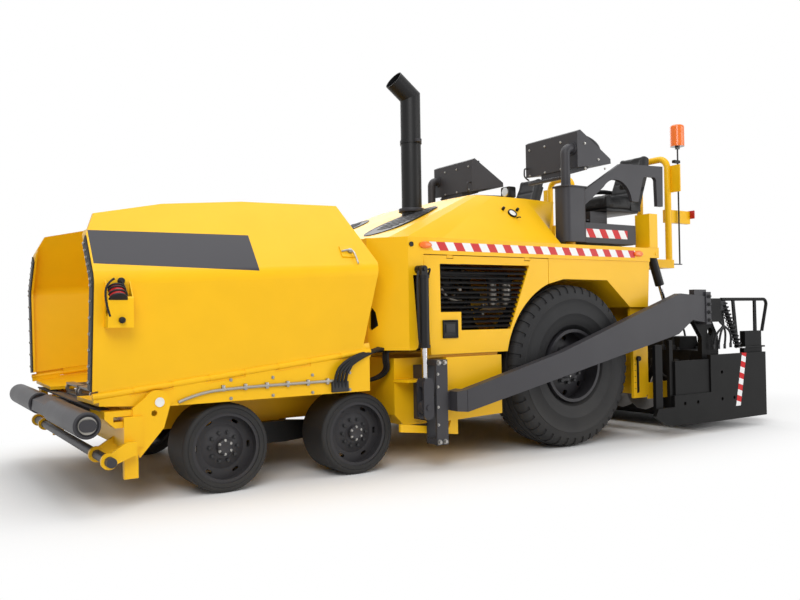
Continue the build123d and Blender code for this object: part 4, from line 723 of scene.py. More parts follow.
def stowedReel(spec):
    drum = addDrum("reelDrum", (0, 0, -spec["length"] / 2), spec["radius"], spec["length"], sides=32,
                   dishes=spec["dishes"])
    turn = Matrix.Translation(spec["centre"]) @ Matrix.Rotation(spec["lean"], 4, "X")
    drum.data.transform(turn)
    drum.name = "stowed_reel_l"
    dressPair(drum, redPaint, "wing_l")
    rims = []
    for level in spec["rimLevels"]:
        rim = addDrum("reelRim", (0, 0, spec["length"] * level - spec["rimHeight"] / 2),
                      spec["radius"] + spec["rimOut"], spec["rimHeight"], sides=32)
        rim.data.transform(turn)
        rims.append(rim)
    rims.append(addHose("reelStrap", shifted(spec["centre"], spec["strap"]), spec["strapRadius"]))
    rims.append(addHose("reelTail", shifted(spec["centre"], spec["tail"]), spec["tailRadius"]))
    button, knob = shifted(spec["centre"], (spec["button"], spec["knob"]))
    rims.append(addDrum("reelButton", button, spec["buttonRadius"], spec["buttonHeight"], "Y", edge=0.006,
                        dishes=((0.006, 0.006),)))
    rims.append(addDrum("reelKnob", knob, spec["knobRadius"], spec["knobHeight"], "Y", sides=12, edge=0.005,
                        dishes=((0.007, 0.008),)))
    dressPair(joinAll("reel_rims_l", rims), hoseRubber, "wing_l")


wingRubber(wingSpec)
wingSeal(sealSpec)
wingLatch(wingSpec)
stowedReel(reelSpec)
print("hopper wings ready")

# ---- hopper side: conduit, reflector, pipes to the front axles
sillSpec = {
    "out": 1.181, "height": 0.742, "rear": ahead(2.42), "front": ahead(3.64), "conduit": 0.011,
    "rearBend": [(-0.02, 0, -0.03), (0, 0, 0), (0.10, 0, 0)],
    "frontBend": [(-0.35, 0, -0.004), (-0.12, 0, -0.030), (0, 0.006, -0.075)],
    "clips": 5, "firstClip": 0.08, "clipShort": 0.4,
    "reflector": (ahead(3.774), 1.2235, 0.680), "reflectorRadius": 0.032, "reflectorHeight": 0.008,
    "boltOut": 1.1805, "boltsAhead": (2.30, 2.62, 2.94, 3.26), "boltHeights": (0.665, 0.795),
}


def sillConduit(spec):
    y = spec["out"] + spec["conduit"] + seated
    route = shifted((spec["rear"], y, spec["height"]), spec["rearBend"])
    route += shifted((spec["front"], y, spec["height"]), spec["frontBend"])
    pipe = addHose("sill_conduit_l", route, spec["conduit"])
    dressPair(pipe, bareAlloy, "tractor")
    step = (spec["front"] - spec["rear"] - spec["clipShort"]) / spec["clips"]
    first = spec["rear"] + spec["firstClip"]
    spots = [((first + k * step, spec["out"] - seated, spec["height"] - seated), (0, 1, 0))
             for k in range(spec["clips"] + 1)]
    dressPair(scatter("conduit_clips_l", clip, spots), zincBolt, "tractor")


def sillDetails(spec):
    ring = addDrum("side_reflector_l", spec["reflector"], spec["reflectorRadius"], spec["reflectorHeight"],
                   "Y", dishes=((0.007, -0.003),))
    dressPair(ring, whiteMark, "tractor")
    spots = [((ahead(distance), spec["boltOut"], height), (0, 1, 0))
             for distance in spec["boltsAhead"] for height in spec["boltHeights"]]
    dressPair(scatter("sill_bolts_l", smallBolt, spots), zincBolt, "tractor")


# rows of side by side hoses, each as their number and a route: places, and how each place moves
# from one hose to the next, in gaps
hoseSpec = {
    "radius": 0.012, "gap": 0.030,
    "blockLow": (ahead(2.325), 1.181, 0.655), "blockHigh": (ahead(2.465), 1.212, 0.735),
    "outer": (4, [
        ((ahead(1.90), 1.02, 0.985), (-1, 0, 0)), ((ahead(1.98), 1.08, 0.965), (-1, 0, 0)),
        ((ahead(2.14), 1.175, 0.950), (-0.6, 0, 0)), ((ahead(2.30), 1.222, 0.915), (0, 0, -0.5)),
        ((ahead(2.40), 1.226, 0.86), (-0.8, 0, -0.4)), ((ahead(2.44), 1.224, 0.80), (-1, 0, 0)),
        ((ahead(2.445), 1.208, 0.72), (-1, 0, 0)), ((ahead(2.445), 1.198, 0.675), (-1, 0, 0))]),
    "inner": (3, [
        ((ahead(1.86), 1.00, 0.985), (0, 1, 0)), ((ahead(1.90), 1.02, 0.90), (0, 1, 0)),
        ((ahead(1.845), 0.98, 0.78), (0, 1, 0)), ((ahead(1.90), 0.86, 0.70), (0, 1, 0)),
        ((ahead(2.02), 0.72, 0.68), (0, 1, 0)), ((ahead(2.10), 0.60, 0.72), (0, 1, 0)),
        ((ahead(2.12), 0.52, 0.74), (0, 0.2, 0))]),
}


def axleHoses(spec):
    # steering and drive hoses from under the cowl: the outer row over the sill's rear end to a block above
    # the wheel, the inner row down to the axle
    block = addBlock("hose_block_l", spec["blockLow"], spec["blockHigh"], edge=0.005)
    dressPair(block, castIron, "tractor")
    hoses = []
    for count, route in (spec["outer"], spec["inner"]):
        for k in range(count):
            points = [[start + move * k * spec["gap"] for start, move in zip(place, moves)]
                      for place, moves in route]
            hoses.append(addHose("axleHose", points, spec["radius"]))
    dressPair(joinAll("axle_hoses_l", hoses), hoseRubber, "tractor")


sillConduit(sillSpec)
sillDetails(sillSpec)
axleHoses(hoseSpec)
print("hopper side ready")

# ---- belt lamps and door fittings
lampSpec = {
    "places": (1.644, -0.901), "height": 1.792, "length": 0.118, "width": 0.056, "stand": 0.014,
    "dishes": ((0.12, 0.005), (0.16, 0.003)),
    "plug": (ahead(1.780), halfBody - seated, 1.795), "plugRadius": 0.020, "plugHeight": 0.012,
}


def beltLamps(spec):
    # lenses turned at diameter 1, then scaled to their width and length
    lenses = []
    for distance in spec["places"]:
        lens = addDrum("lens", (0, 0, 0), radius=0.5, length=spec["stand"], sides=36, edge=0,
                       dishes=spec["dishes"])
        lens.data.transform(Matrix.Diagonal((spec["width"], spec["length"], 1, 1)))
        lens.data.transform(facing((ahead(distance), halfBody - seated, spec["height"]), (0, 1, 0), "X"))
        lenses.append(lens)
    dressPair(joinAll("belt_lamps_l", lenses), amberLens, "tractor")
    plug = addDrum("belt_plug_l", spec["plug"], spec["plugRadius"], spec["plugHeight"], "Y",
                   dishes=((0.006, -0.004),))
    dressPair(plug, blackPaint, "tractor")


latchSpec = {
    "rear": ahead(1.322), "front": ahead(1.478), "low": 1.035, "high": 1.185, "rim": 0.014, "depth": 0.012,
    "out": 0.016, "inset": 0.0105,
    "paddleHalf": 0.045, "paddleOut": (0.003, 0.012), "paddleShort": (0.045, 0.035),
}


def doorLatch(spec):
    y = halfBody - spec["inset"]
    box = addBlock("door_latch_l", (spec["rear"], y, spec["low"]),
                   (spec["front"], y + spec["out"], spec["high"]), edge=0.006)
    openFaces(box, lambda c, n: n.y > 0.95)
    bpy.ops.mesh.inset(thickness=spec["rim"])
    bpy.ops.transform.translate(value=(0, -spec["depth"], 0))
    bpy.ops.mesh.inset(thickness=0.010)
    closeEdit()
    dressPair(box, blackPaint, "door_l")
    middle, half = (spec["rear"] + spec["front"]) / 2, spec["paddleHalf"]
    inner, outer = spec["paddleOut"]
    below, above = spec["paddleShort"]
    paddle = addBlock("door_paddle_l", (middle - half, y + inner, spec["low"] + below),
                      (middle + half, y + outer, spec["high"] - above))
    dressPair(paddle, castIron, "door_l")


beltLamps(lampSpec)
doorLatch(latchSpec)
print("belt lamps and door fittings ready")

# ---- wheels and push rollers
wheelCentre = {joint["child"]: Vector(joint["pos_m"]) for joint in record["behaviour"]["joints"]
               if joint["child"].startswith(("rear_wheel", "bogie_wheel"))}
# half: one side of the tyre's outline, as (out from its middle, radius), with a groove between the lugs
tyreSpec = {
    "half": [
        (0.150, 0.334), (0.196, 0.372), (0.212, 0.430), (0.2150, 0.470), (0.2172, 0.474), (0.2172, 0.482),
        (0.2152, 0.486), (0.2155, 0.560), (0.2170, 0.598), (0.2190, 0.602), (0.2190, 0.610), (0.2150, 0.614),
        (0.207, 0.660), (0.200, 0.690), (0.186, 0.712), (0.165, 0.7285), (0.122, 0.7370), (0.118, 0.7220),
        (0.104, 0.7230), (0.100, 0.7395), (0.060, 0.7430), (0.056, 0.7275), (0.040, 0.7280), (0.036, 0.7445)],
    "segments": 132, "notchRim": 0.003, "notchDepth": 0.010, "shoulder": 0.120, "sideLow": 0.668,
}


def rearTyre(spec):
    centre = wheelCentre["rear_wheel_l"]
    middle = (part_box("rear_tyre_l")[0][1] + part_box("rear_tyre_l")[1][1]) / 2
    outline = spec["half"] + [(-y, r) for y, r in reversed(spec["half"])]
    curve = bpy.data.curves.new("tyreOutline", "CURVE")
    curve.dimensions = "3D"
    spline = curve.splines.new("POLY")
    spline.points.add(len(outline) - 1)
    for point, (y, r) in zip(spline.points, outline):
        point.co = (centre.x, middle + y, centre.z + r, 1)
    spline.use_cyclic_u = True
    tyre = addTube("rear_tyre_rubber_l", curve)
    openEdit(tyre, "VERT", True)
    bpy.ops.mesh.spin(steps=spec["segments"], angle=2 * math.pi, center=(centre.x, middle, centre.z),
                      axis=(0, 1, 0))
    bpy.ops.mesh.select_all(action="SELECT")
    bpy.ops.mesh.remove_doubles(threshold=0.0004)
    bpy.ops.mesh.normals_make_consistent(inside=False)
    closeEdit()
    step = 2 * math.pi / spec["segments"]

    def inNotch(c, n):
        # every third segment of the shoulders
        away = Vector((c.x - centre.x, c.z - centre.z))
        if abs(c.y - middle) < spec["shoulder"] or away.length < spec["sideLow"]:
            return False
        return int(round((math.atan2(away.y, away.x) + 4 * math.pi) / step - 0.5)) % 3 == 0
    openFaces(tyre, inNotch)
    bpy.ops.mesh.inset(thickness=spec["notchRim"])
    bpy.ops.transform.shrink_fatten(value=-spec["notchDepth"])
    closeEdit()
    left, right = dressPair(tyre, tyreRubber, "rear_wheel_l", angle=28)
    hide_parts("rear_tyre_l")
    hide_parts("rear_tyre_r")


hubSpec = {
    "rear": {"face": 1.181, "bolts": 12, "boltScale": 1.15, "ring": 0.163, "cap": 0.120, "capStart": 1.183,
             "capHeight": 0.040},
    "bogie": {"face": 1.067, "bolts": 10, "boltScale": 0.8, "ring": 0.104, "cap": 0.056, "capStart": 1.078,
              "capHeight": 0.034},
    "capBolts": 6, "capRing": 0.84, "dishes": ((0.28, 0.010), (0.35, -0.006)),
}


def ringSpots(centre, out, radius, count, start=0.0):
    # places round a wheel's axle on the face at out, start in steps of one place
    turns = [2 * math.pi * (k + start) / count for k in range(count)]
    return [((centre.x + radius * math.cos(turn), out, centre.z + radius * math.sin(turn)), (0, 1, 0))
            for turn in turns]


def wheelHub(name, body, kind):
    spec, centre = hubSpec[kind], wheelCentre[body]
    bolt = copyOf(wheelBolt, "hubBolt")
    bolt.data.transform(Matrix.Scale(spec["boltScale"], 4))
    spots = ringSpots(centre, spec["face"], spec["ring"], spec["bolts"])
    dressPair(scatter(name + "_bolts_l", bolt, spots), castIron, body)
    bpy.data.objects.remove(bolt)
    dishes = [(spec["cap"] * inset, depth) for inset, depth in hubSpec["dishes"]]
    cap = addDrum(name + "_cap_l", (centre.x, spec["capStart"], centre.z), spec["cap"], spec["capHeight"],
                  "Y", sides=36, edge=0.006, dishes=dishes)
    dressPair(cap, wheelPaint, body)
    spots = ringSpots(centre, spec["capStart"] + spec["capHeight"] - seated, spec["cap"] * hubSpec["capRing"],
                      hubSpec["capBolts"], 0.5)
    dressPair(scatter(name + "_cap_bolts_l", smallBolt, spots), zincBolt, body)


rearTyre(tyreSpec)
wheelHub("rear_hub", "rear_wheel_l", "rear")
wheelHub("front_bogie_hub", "bogie_wheel_f_l", "bogie")
wheelHub("second_bogie_hub", "bogie_wheel_m_l", "bogie")
rollerSpec = {"centre": (ahead(4.260), 1.350, 0.580), "radius": 0.056, "length": 0.013,
              "dishes": ((0.014, -0.003), (0.018, 0.002))}


def rollerEnds(spec):
    cap = addDrum("push_roller_cap_l", spec["centre"], spec["radius"], spec["length"], "Y", sides=36,
                  dishes=spec["dishes"])
    dressPair(cap, bareAlloy, "roller_l")


rollerEnds(rollerSpec)
print("wheels ready")

# ---- engine bay behind the grilles
engineSpec = {
    "side": 0.42, "heads": 6, "first": 0.62, "pitch": 0.135, "headHeight": 1.50, "pipeHeight": 1.40,
    "headLow": (-0.055, -0.01, -0.07), "headHigh": (0.055, 0.075, 0.09),
    "injector": (0.02, 0.088), "injectorRadius": 0.018, "injectorHeight": 0.06,
    "pipeOut": 0.17, "stubRadius": 0.026, "manifoldRadius": 0.044, "manifoldEnds": (-0.06, 0.05),
    "turbo": (ahead(1.02), 0.69, 1.50), "turboRadius": 0.095, "turboLength": 0.09,
    "turboPipe": [(ahead(1.06), 0.69, 1.58), (ahead(1.06), 0.69, 1.68), (ahead(1.25), 0.61, 1.72),
                  (ahead(1.42), 0.49, 1.70)],
    "turboPipeRadius": 0.040,
    "pumpLow": (ahead(0.66), 0.42, 1.12), "pumpHigh": (ahead(0.98), 0.62, 1.27),
    "starter": (ahead(1.08), 0.52, 1.14), "starterRadius": 0.060, "starterLength": 0.24,
    "railLow": (ahead(0.50), 0.92, 1.555), "railHigh": (ahead(1.40), 0.96, 1.585),
    "filters": ((ahead(0.483), 0.055), (ahead(0.640), 0.042)), "filterSide": 0.90, "filterFoot": 1.305,
    "filterHeight": 0.215, "ringLevels": (0.04, 0.10, 0.16), "filterTop": 1.518,
    "brightHose": [(ahead(1.24), 0.88, 1.50), (ahead(1.20), 0.90, 1.44), (ahead(1.15), 0.90, 1.375),
                   (ahead(1.06), 0.92, 1.345), (ahead(0.98), 0.88, 1.350)],
    "brightHoseRadius": 0.013,
    "pulleysAt": ahead(1.562), "pulleys": ((0.13, 1.16, 0.30), (0.085, 1.38, 0.40), (0.055, 1.24, 0.52)),
    "looseHoses": 9, "seed": 7, "hoseRadii": (0.010, 0.014, 0.019),
}


def engineHeads(spec, iron, alloy):
    side, height, pipe = spec["side"], spec["headHeight"], spec["pipeHeight"]
    y = side + spec["pipeOut"]
    for k in range(spec["heads"]):
        x = ahead(spec["first"] + k * spec["pitch"])
        low, high = shifted((x, side, height), (spec["headLow"], spec["headHigh"]))
        iron.append(addBlock("head", low, high, edge=0.010))
        out, up = spec["injector"]
        alloy.append(addDrum("injector", (x, side + out, height + up), spec["injectorRadius"],
                             spec["injectorHeight"], sides=14, dishes=((0.006, 0.012),)))
        iron.append(addHose("stub", [(x, side + 0.06, height), (x, side + 0.15, 1.49), (x, y, pipe)],
                            spec["stubRadius"]))
    last = spec["first"] + (spec["heads"] - 1) * spec["pitch"]
    before, after = spec["manifoldEnds"]
    ends = [spec["first"] + before, 1.0, last + after]
    manifold = [(ahead(distance), y, pipe) for distance in ends]
    iron.append(addHose("manifold", manifold, spec["manifoldRadius"]))


def engineParts(spec, iron, alloy):
    # turbocharger, pump, starter, rail, filters and pulleys
    iron.append(addDrum("turbo", spec["turbo"], spec["turboRadius"], spec["turboLength"], "X", sides=32,
                        edge=0.02, dishes=((0.03, -0.02), (0.02, 0.03))))
    iron.append(addHose("turboPipe", spec["turboPipe"], spec["turboPipeRadius"]))
    iron.append(addBlock("pump", spec["pumpLow"], spec["pumpHigh"], edge=0.02))
    iron.append(addDrum("starter", spec["starter"], spec["starterRadius"], spec["starterLength"], "X",
                        dishes=((0.02, 0.02),)))
    iron.append(addBlock("rail", spec["railLow"], spec["railHigh"], edge=0.006))
    side, foot = spec["filterSide"], spec["filterFoot"]
    for x, radius in spec["filters"]:
        alloy.append(addDrum("filter", (x, side, foot), radius, spec["filterHeight"], edge=0.010,
                             dishes=((0.012, 0.010),)))
        for level in spec["ringLevels"]:
            alloy.append(addDrum("filterRing", (x, side, foot + level), radius=radius + 0.006, length=0.012))
        iron.append(addDrum("filterHead", (x, side, spec["filterTop"]), radius=radius + 0.012, length=0.045,
                            sides=20))
    alloy.append(addHose("brightHose", spec["brightHose"], spec["brightHoseRadius"]))
    for radius, height, side in spec["pulleys"]:
        iron.append(addDrum("pulley", (spec["pulleysAt"], side, height), radius=radius, length=0.05,
                            along="X", sides=32, dishes=((0.012, -0.018), (0.02, 0.006))))


def engineHoses(spec, alloy, rubber):
    # loose hoses between places drawn at random in the bay, the same ones each run
    rng = random.Random(spec["seed"])
    for k in range(spec["looseHoses"]):
        start = Vector((ahead(rng.uniform(0.6, 1.4)), rng.uniform(0.50, 0.62), rng.uniform(1.15, 1.55)))
        end = Vector((ahead(rng.uniform(0.6, 1.4)), rng.uniform(0.62, 0.95), rng.uniform(1.15, 1.56)))
        sag = (start + end) / 2 + Vector((rng.uniform(-0.05, 0.05), 0.10, -rng.uniform(0.06, 0.14)))
        bend = start.lerp(sag, 0.5) + Vector((0, 0.05, 0))
        rubber.append(addHose("engineHose", [start, bend, sag, sag.lerp(end, 0.5), end],
                              rng.choice(spec["hoseRadii"])))
        foot = end - Vector((0, 0, 0.015))
        alloy.append(addDrum("hoseEnd", tuple(foot), radius=0.022, length=0.035, sides=12))


def engineBay(spec):
    iron, alloy, rubber = [], [], []
    engineHeads(spec, iron, alloy)
    engineParts(spec, iron, alloy)
    engineHoses(spec, alloy, rubber)
    dressPair(joinAll("engine_castings_l", iron), castIron, "tractor")
    dressPair(joinAll("engine_fittings_l", alloy), bareAlloy, "tractor")
    dressPair(joinAll("engine_hoses_l", rubber), hoseRubber, "tractor")


engineBay(engineSpec)
print("engine bay ready")

# ---- hood and stack: air intake on the slope, gauge, working lamp, stack foot and clamp
intakeSpec = {
    "front": ahead(1.950), "slope": 0.465 / 1.150,
    "outline": [(ahead(1.84), 0.56), (ahead(1.54), 0.33), (ahead(1.20), 0.33), (ahead(1.00), 0.64),
                (ahead(1.32), 0.86), (ahead(1.76), 0.94)],
    "thickness": 0.008, "rim": 0.012, "depth": 0.004,
    "bars": 9, "firstBar": ahead(1.70), "barSpread": 0.62, "barHalf": 0.006, "barLow": 0.002,
    "barHigh": 0.010, "barReach": 0.20, "barSide": 0.70, "barBow": 0.10,
}


def hoodIntake(spec):
    # built flat in x and y, then laid on the hood's slope
    slope = spec["slope"]
    height = deckTop + spec["front"] * slope
    onSlope = Matrix(((1, 0, 0, 0), (0, 1, 0, 0), (-slope, 0, 1, height), (0, 0, 0, 1)))
    sheet = addPlate("hood_intake_l", spec["outline"], spec["thickness"], order=3)
    sink(sheet, lambda c, n: n.z > 0.9, spec["rim"], (0, 0, -spec["depth"]))
    sheet.data.transform(onSlope)
    dressPair(sheet, blackPaint, "tractor")
    bars = []
    for k in range(spec["bars"]):
        t = (k + 1) / (spec["bars"] + 1)
        x = spec["firstBar"] - spec["barSpread"] * t
        reach = spec["barReach"] * math.sin(math.pi * (0.12 + 0.80 * t))
        middle = spec["barSide"] - spec["barBow"] * math.sin(math.pi * t)
        bar = addBlock("intakeBar", (x - spec["barHalf"], middle - reach, spec["barLow"]),
                       (x + spec["barHalf"], middle + reach, spec["barHigh"]), edge=0.002)
        bar.data.transform(onSlope)
        bars.append(bar)
    dressPair(joinAll("hood_intake_bars_l", bars), greyPaint, "tractor")


hoodSpec = {
    "gauge": (ahead(0.448), 0.974, 2.142), "gaugeNormal": (0, 0.78, 0.63), "gaugeRadius": 0.046,
    "knobSide": 0.085, "lever": [(0.03, -0.05, 0.0), (0.03, -0.06, 0.03), (0.02, -0.09, 0.05)],
    "lamp": (ahead(0.075), 0.50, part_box("hood")[1][2]), "lampLow": (-0.05, -0.065, 0.055),
    "lampHigh": (0.045, 0.065, 0.165),
    "stand": [(0, -0.055, -0.002), (0, -0.055, 0.05), (0, -0.03, 0.058), (0, 0.03, 0.058), (0, 0.055, 0.05),
              (0, 0.055, -0.002)],
    "standRadius": 0.008, "glass": (0.034, 0, 0.110), "glassRadius": 0.046,
}


def hoodFittings(spec):
    # gauge with its knobs and lever, built on z = 0 and turned to the hood's edge, then the working lamp
    turn = facing(spec["gauge"], spec["gaugeNormal"])
    radius = spec["gaugeRadius"]
    ring = addDrum("hood_gauge_l", (0, 0, -0.004), radius=radius, length=0.026, sides=36, edge=0.004,
                   dishes=((0.009, -0.008),))
    face = addDrum("hood_gauge_face_l", (0, 0, 0.010), radius=radius - 0.012, length=0.006, sides=36,
                   edge=0.001, dishes=((0.020, 0.001),))
    knobs = [addDrum("knob", (spec["knobSide"] * side, 0.05, -0.004), radius=0.014, length=0.034, sides=16,
                     edge=0.004, dishes=((0.004, 0.004),)) for side in (-1, 1)]
    knobs.append(addHose("lever", spec["lever"], radius=0.006))
    for piece in (ring, face, *knobs):
        piece.data.transform(turn)
    dressPair(ring, blackPaint, "tractor")
    dressPair(face, whiteMark, "tractor")
    dressPair(joinAll("hood_knobs_l", knobs), blackPaint, "tractor")
    low, high, glassPlace = shifted(spec["lamp"], (spec["lampLow"], spec["lampHigh"], spec["glass"]))
    body = addBlock("work_lamp_l", low, high, edge=0.014)
    sink(body, lambda c, n: n.x > 0.9, inset=0.010, move=(-0.008, 0, 0))
    stand = addHose("lampStand", shifted(spec["lamp"], spec["stand"]), spec["standRadius"])
    glass = addDrum("work_lamp_glass_l", glassPlace, radius=spec["glassRadius"], length=0.009, along="X",
                    sides=32, edge=0.002, dishes=((0.012, 0.003),))
    dressPair(joinAll("work_lamp_l", [body, stand]), blackPaint, "tractor")
    dressPair(glass, lampGlass, "tractor")


hoodIntake(intakeSpec)
hoodFittings(hoodSpec)

stackSpec = {
    "ahead": 1.100, "side": 0.300, "radius": 0.095, "foot": 2.195, "footHeight": 0.035, "footOut": 0.03,
    "clamp": 2.845, "clampHeight": 0.03, "earHalf": 0.03, "earOut": (0.002, 0.045),
}


def stackFittings(spec):
    x, y, half = ahead(spec["ahead"]), spec["side"], spec["earHalf"]
    inner, outer = [spec["radius"] + out for out in spec["earOut"]]
    parts = [addDrum("stackFoot", (x, y, spec["foot"]), spec["radius"] + spec["footOut"], spec["footHeight"],
                     sides=40, edge=0.006, dishes=((0.02, 0.004),))]
    for side in (-1, 1):
        parts.append(addBlock("clampEar", (x - half, y + side * inner, spec["clamp"]),
                              (x + half, y + side * outer, spec["clamp"] + spec["clampHeight"])))
    dress(joinAll("stack_fittings", parts), greyPaint, "tractor")


stackFittings(stackSpec)
print("hood and stack ready")

# ---- tow points and arms
towSpec = {
    "guide": ahead(1.602), "face": 1.4155, "boltSpread": (-0.028, 0.028), "boltHeights": (0.225, 0.850),
    "screwShift": 0.035, "screwHeights": (0.36, 0.50, 0.66, 0.76),
    "weld": ahead(1.393), "arm": 1.4855, "weldHeights": (0.455, 0.50, 0.56, 0.625), "weldRadius": 0.005,
    "flange": ahead(-1.688), "flangeFace": 1.4975, "flangeHeights": (1.13, 1.21, 1.29, 1.37),
    "cylinder": (ahead(1.720), halfBody + 0.078, 0), "hoseRadius": 0.009,
    "frontHose": [(0.05, 0.005, 1.575), (0.068, 0.01, 1.54), (0.066, 0.015, 1.30), (0.060, 0.012, 1.08),
                  (0.050, 0.005, 1.015), (0.03, 0, 1.005)],
    "rearHose": [(-0.05, 0.005, 1.590), (-0.075, -0.01, 1.60), (-0.082, -0.04, 1.56), (-0.080, -0.075, 1.48)],
}


def towDetails(spec):
    outward = (0, 1, 0)
    bolts = [((spec["guide"] + along, spec["face"], z), outward)
             for along in spec["boltSpread"] for z in spec["boltHeights"]]
    dressPair(scatter("guide_bolts_l", wheelBolt, bolts), zincBolt, "tractor")
    bolts = [((spec["guide"] + spec["screwShift"], spec["face"], z), outward) for z in spec["screwHeights"]]
    dressPair(scatter("guide_screws_l", smallBolt, bolts), zincBolt, "tractor")
    weld = addHose("arm_weld_l", [(spec["weld"], spec["arm"] - seated, z) for z in spec["weldHeights"]],
                   spec["weldRadius"])
    dressPair(weld, greyPaint, "screed")
    bolts = [((spec["flange"], spec["flangeFace"], z), outward) for z in spec["flangeHeights"]]
    dressPair(scatter("arm_flange_bolts_l", wheelBolt, bolts), castIron, "screed")
    hoses = [addHose("towHose", shifted(spec["cylinder"], spec[key]), spec["hoseRadius"])
             for key in ("frontHose", "rearHose")]
    dressPair(joinAll("tow_hoses_l", hoses), hoseRubber, "tractor")


towDetails(towSpec)
print("tow points ready")

# ---- operator stations: padded seats, steering wheel, levers
padSpec = {"voxel": 0.013, "pressure": 4.0, "frames": 20, "cap": 0.014, "pinned": 0.006, "fill": 0.6,
           "edge": 0.034, "rim": 0.055, "hollow": 0.014}


def padded(piece, restLow, spec):
    # remeshed, then blown up a little by cloth pressure, resting on its lower side
    hold(piece)
    remesh = piece.modifiers.new("remesh", "REMESH")
    remesh.mode = "VOXEL"
    remesh.voxel_size = spec["voxel"]
    bpy.ops.object.modifier_apply(modifier=remesh.name)
    before = [vertex.co.copy() for vertex in piece.data.vertices]
    held = piece.vertex_groups.new(name="resting")
    held.add([vertex.index for vertex in piece.data.vertices if restLow(vertex.co) < spec["pinned"]],
             1.0, "REPLACE")
    cloth = piece.modifiers.new("cloth", "CLOTH")
    cloth.settings.use_pressure = True
    cloth.settings.uniform_pressure_force = spec["pressure"]
    cloth.settings.effector_weights.gravity = 0
    cloth.settings.vertex_group_mass = "resting"
    cloth.point_cache.frame_start = 1
    cloth.point_cache.frame_end = spec["frames"]
    for step in range(1, spec["frames"] + 1):
        bpy.context.scene.frame_set(step)
    bpy.ops.object.modifier_apply(modifier=cloth.name)
    bpy.context.scene.frame_set(1)
    for vertex, start in zip(piece.data.vertices, before):
        move = vertex.co - start
        if move.length > spec["cap"]:
            vertex.co = start + move.normalized() * spec["cap"]


def sewChannels(piece, onChannel, depth):
    mesh = openEdit(piece, "VERT")
    for vertex in mesh.verts:
        if onChannel(vertex.co, vertex.normal):
            vertex.select_set(True)
    bmesh.update_edit_mesh(piece.data)
    bpy.ops.transform.shrink_fatten(value=-depth)
    closeEdit()
    smooth = piece.modifiers.new("smooth", "SUBSURF")
    smooth.levels = smooth.render_levels = 1
    bpy.ops.object.modifier_apply(modifier=smooth.name)


seatSpec = {
    "side": 0.80, "cushionLow": (ahead(-1.235), 0.575, 2.265), "cushionHigh": (ahead(-0.755), 1.025, 2.395),
    "backWidth": 0.430, "backHeight": 0.590, "backThick": 0.095, "backFoot": (ahead(-1.205), 0.80, 2.330),
    "lean": -0.36, "topNarrow": 0.84,
    "channelDepth": 0.007, "channelHalf": 0.0075, "channelPitch": 0.12, "cushionReach": 0.16,
    "backChannels": (0.26, 0.46, 0.66), "backReach": 0.14,
    "sideLow": (-0.03, 0, -0.01), "sideHigh": (0.12, 0.022, 0.20), "panDrop": 0.030,
    "shellLow": (-0.112, -0.17, 0.03), "shellHigh": (-0.085, 0.17, 0.50),
    "armRest": [(-0.09, 0, 0.24), (0.02, 0, 0.245), (0.12, 0, 0.240), (0.235, 0, 0.225)], "restRadius": 0.024,
}


def seatPads(spec):
    hollow, half = padSpec["hollow"], spec["channelHalf"]
    cushion = addBlock("seat_cushion_l", spec["cushionLow"], spec["cushionHigh"], padSpec["edge"])
    sink(cushion, lambda c, n: n.z > 0.95, padSpec["rim"], (0, 0, -hollow))
    low = spec["cushionLow"][2]
    padded(cushion, lambda place: place.z - low, padSpec)
    channels = [spec["cushionLow"][0] + spec["channelPitch"] * k for k in (1, 2, 3)]
    sewChannels(cushion, lambda c, n: n.z > 0.5 and abs(c.y - spec["side"]) < spec["cushionReach"]
                and min(abs(c.x - x) for x in channels) < half, spec["channelDepth"])
    thick, high = spec["backThick"], spec["backHeight"]
    back = addBlock("seat_back_l", (-thick, -spec["backWidth"] / 2, 0), (0, spec["backWidth"] / 2, high),
                    padSpec["edge"])
    sink(back, lambda c, n: n.x > 0.95, padSpec["rim"], (-hollow, 0, 0))
    mesh = openEdit(back, "VERT")
    for vertex in mesh.verts:
        vertex.select_set(vertex.co.z > high * 0.5)
    bmesh.update_edit_mesh(back.data)
    bpy.ops.transform.resize(value=(1, spec["topNarrow"], 1), center_override=(0, 0, high))
    closeEdit()
    padded(back, lambda place: place.x + thick, padSpec)
    channels = [high * share for share in spec["backChannels"]]
    sewChannels(back, lambda c, n: n.x > 0.5 and abs(c.y) < spec["backReach"]
                and min(abs(c.z - z) for z in channels) < half, spec["channelDepth"])
    back.data.transform(Matrix.Translation(spec["backFoot"]) @ Matrix.Rotation(spec["lean"], 4, "Y"))
    for piece in (cushion, back):
        left, right = dressPair(piece, seatVinyl, "station_l", angle=60)
        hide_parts("station_seat_l")
        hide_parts("station_seat_r")


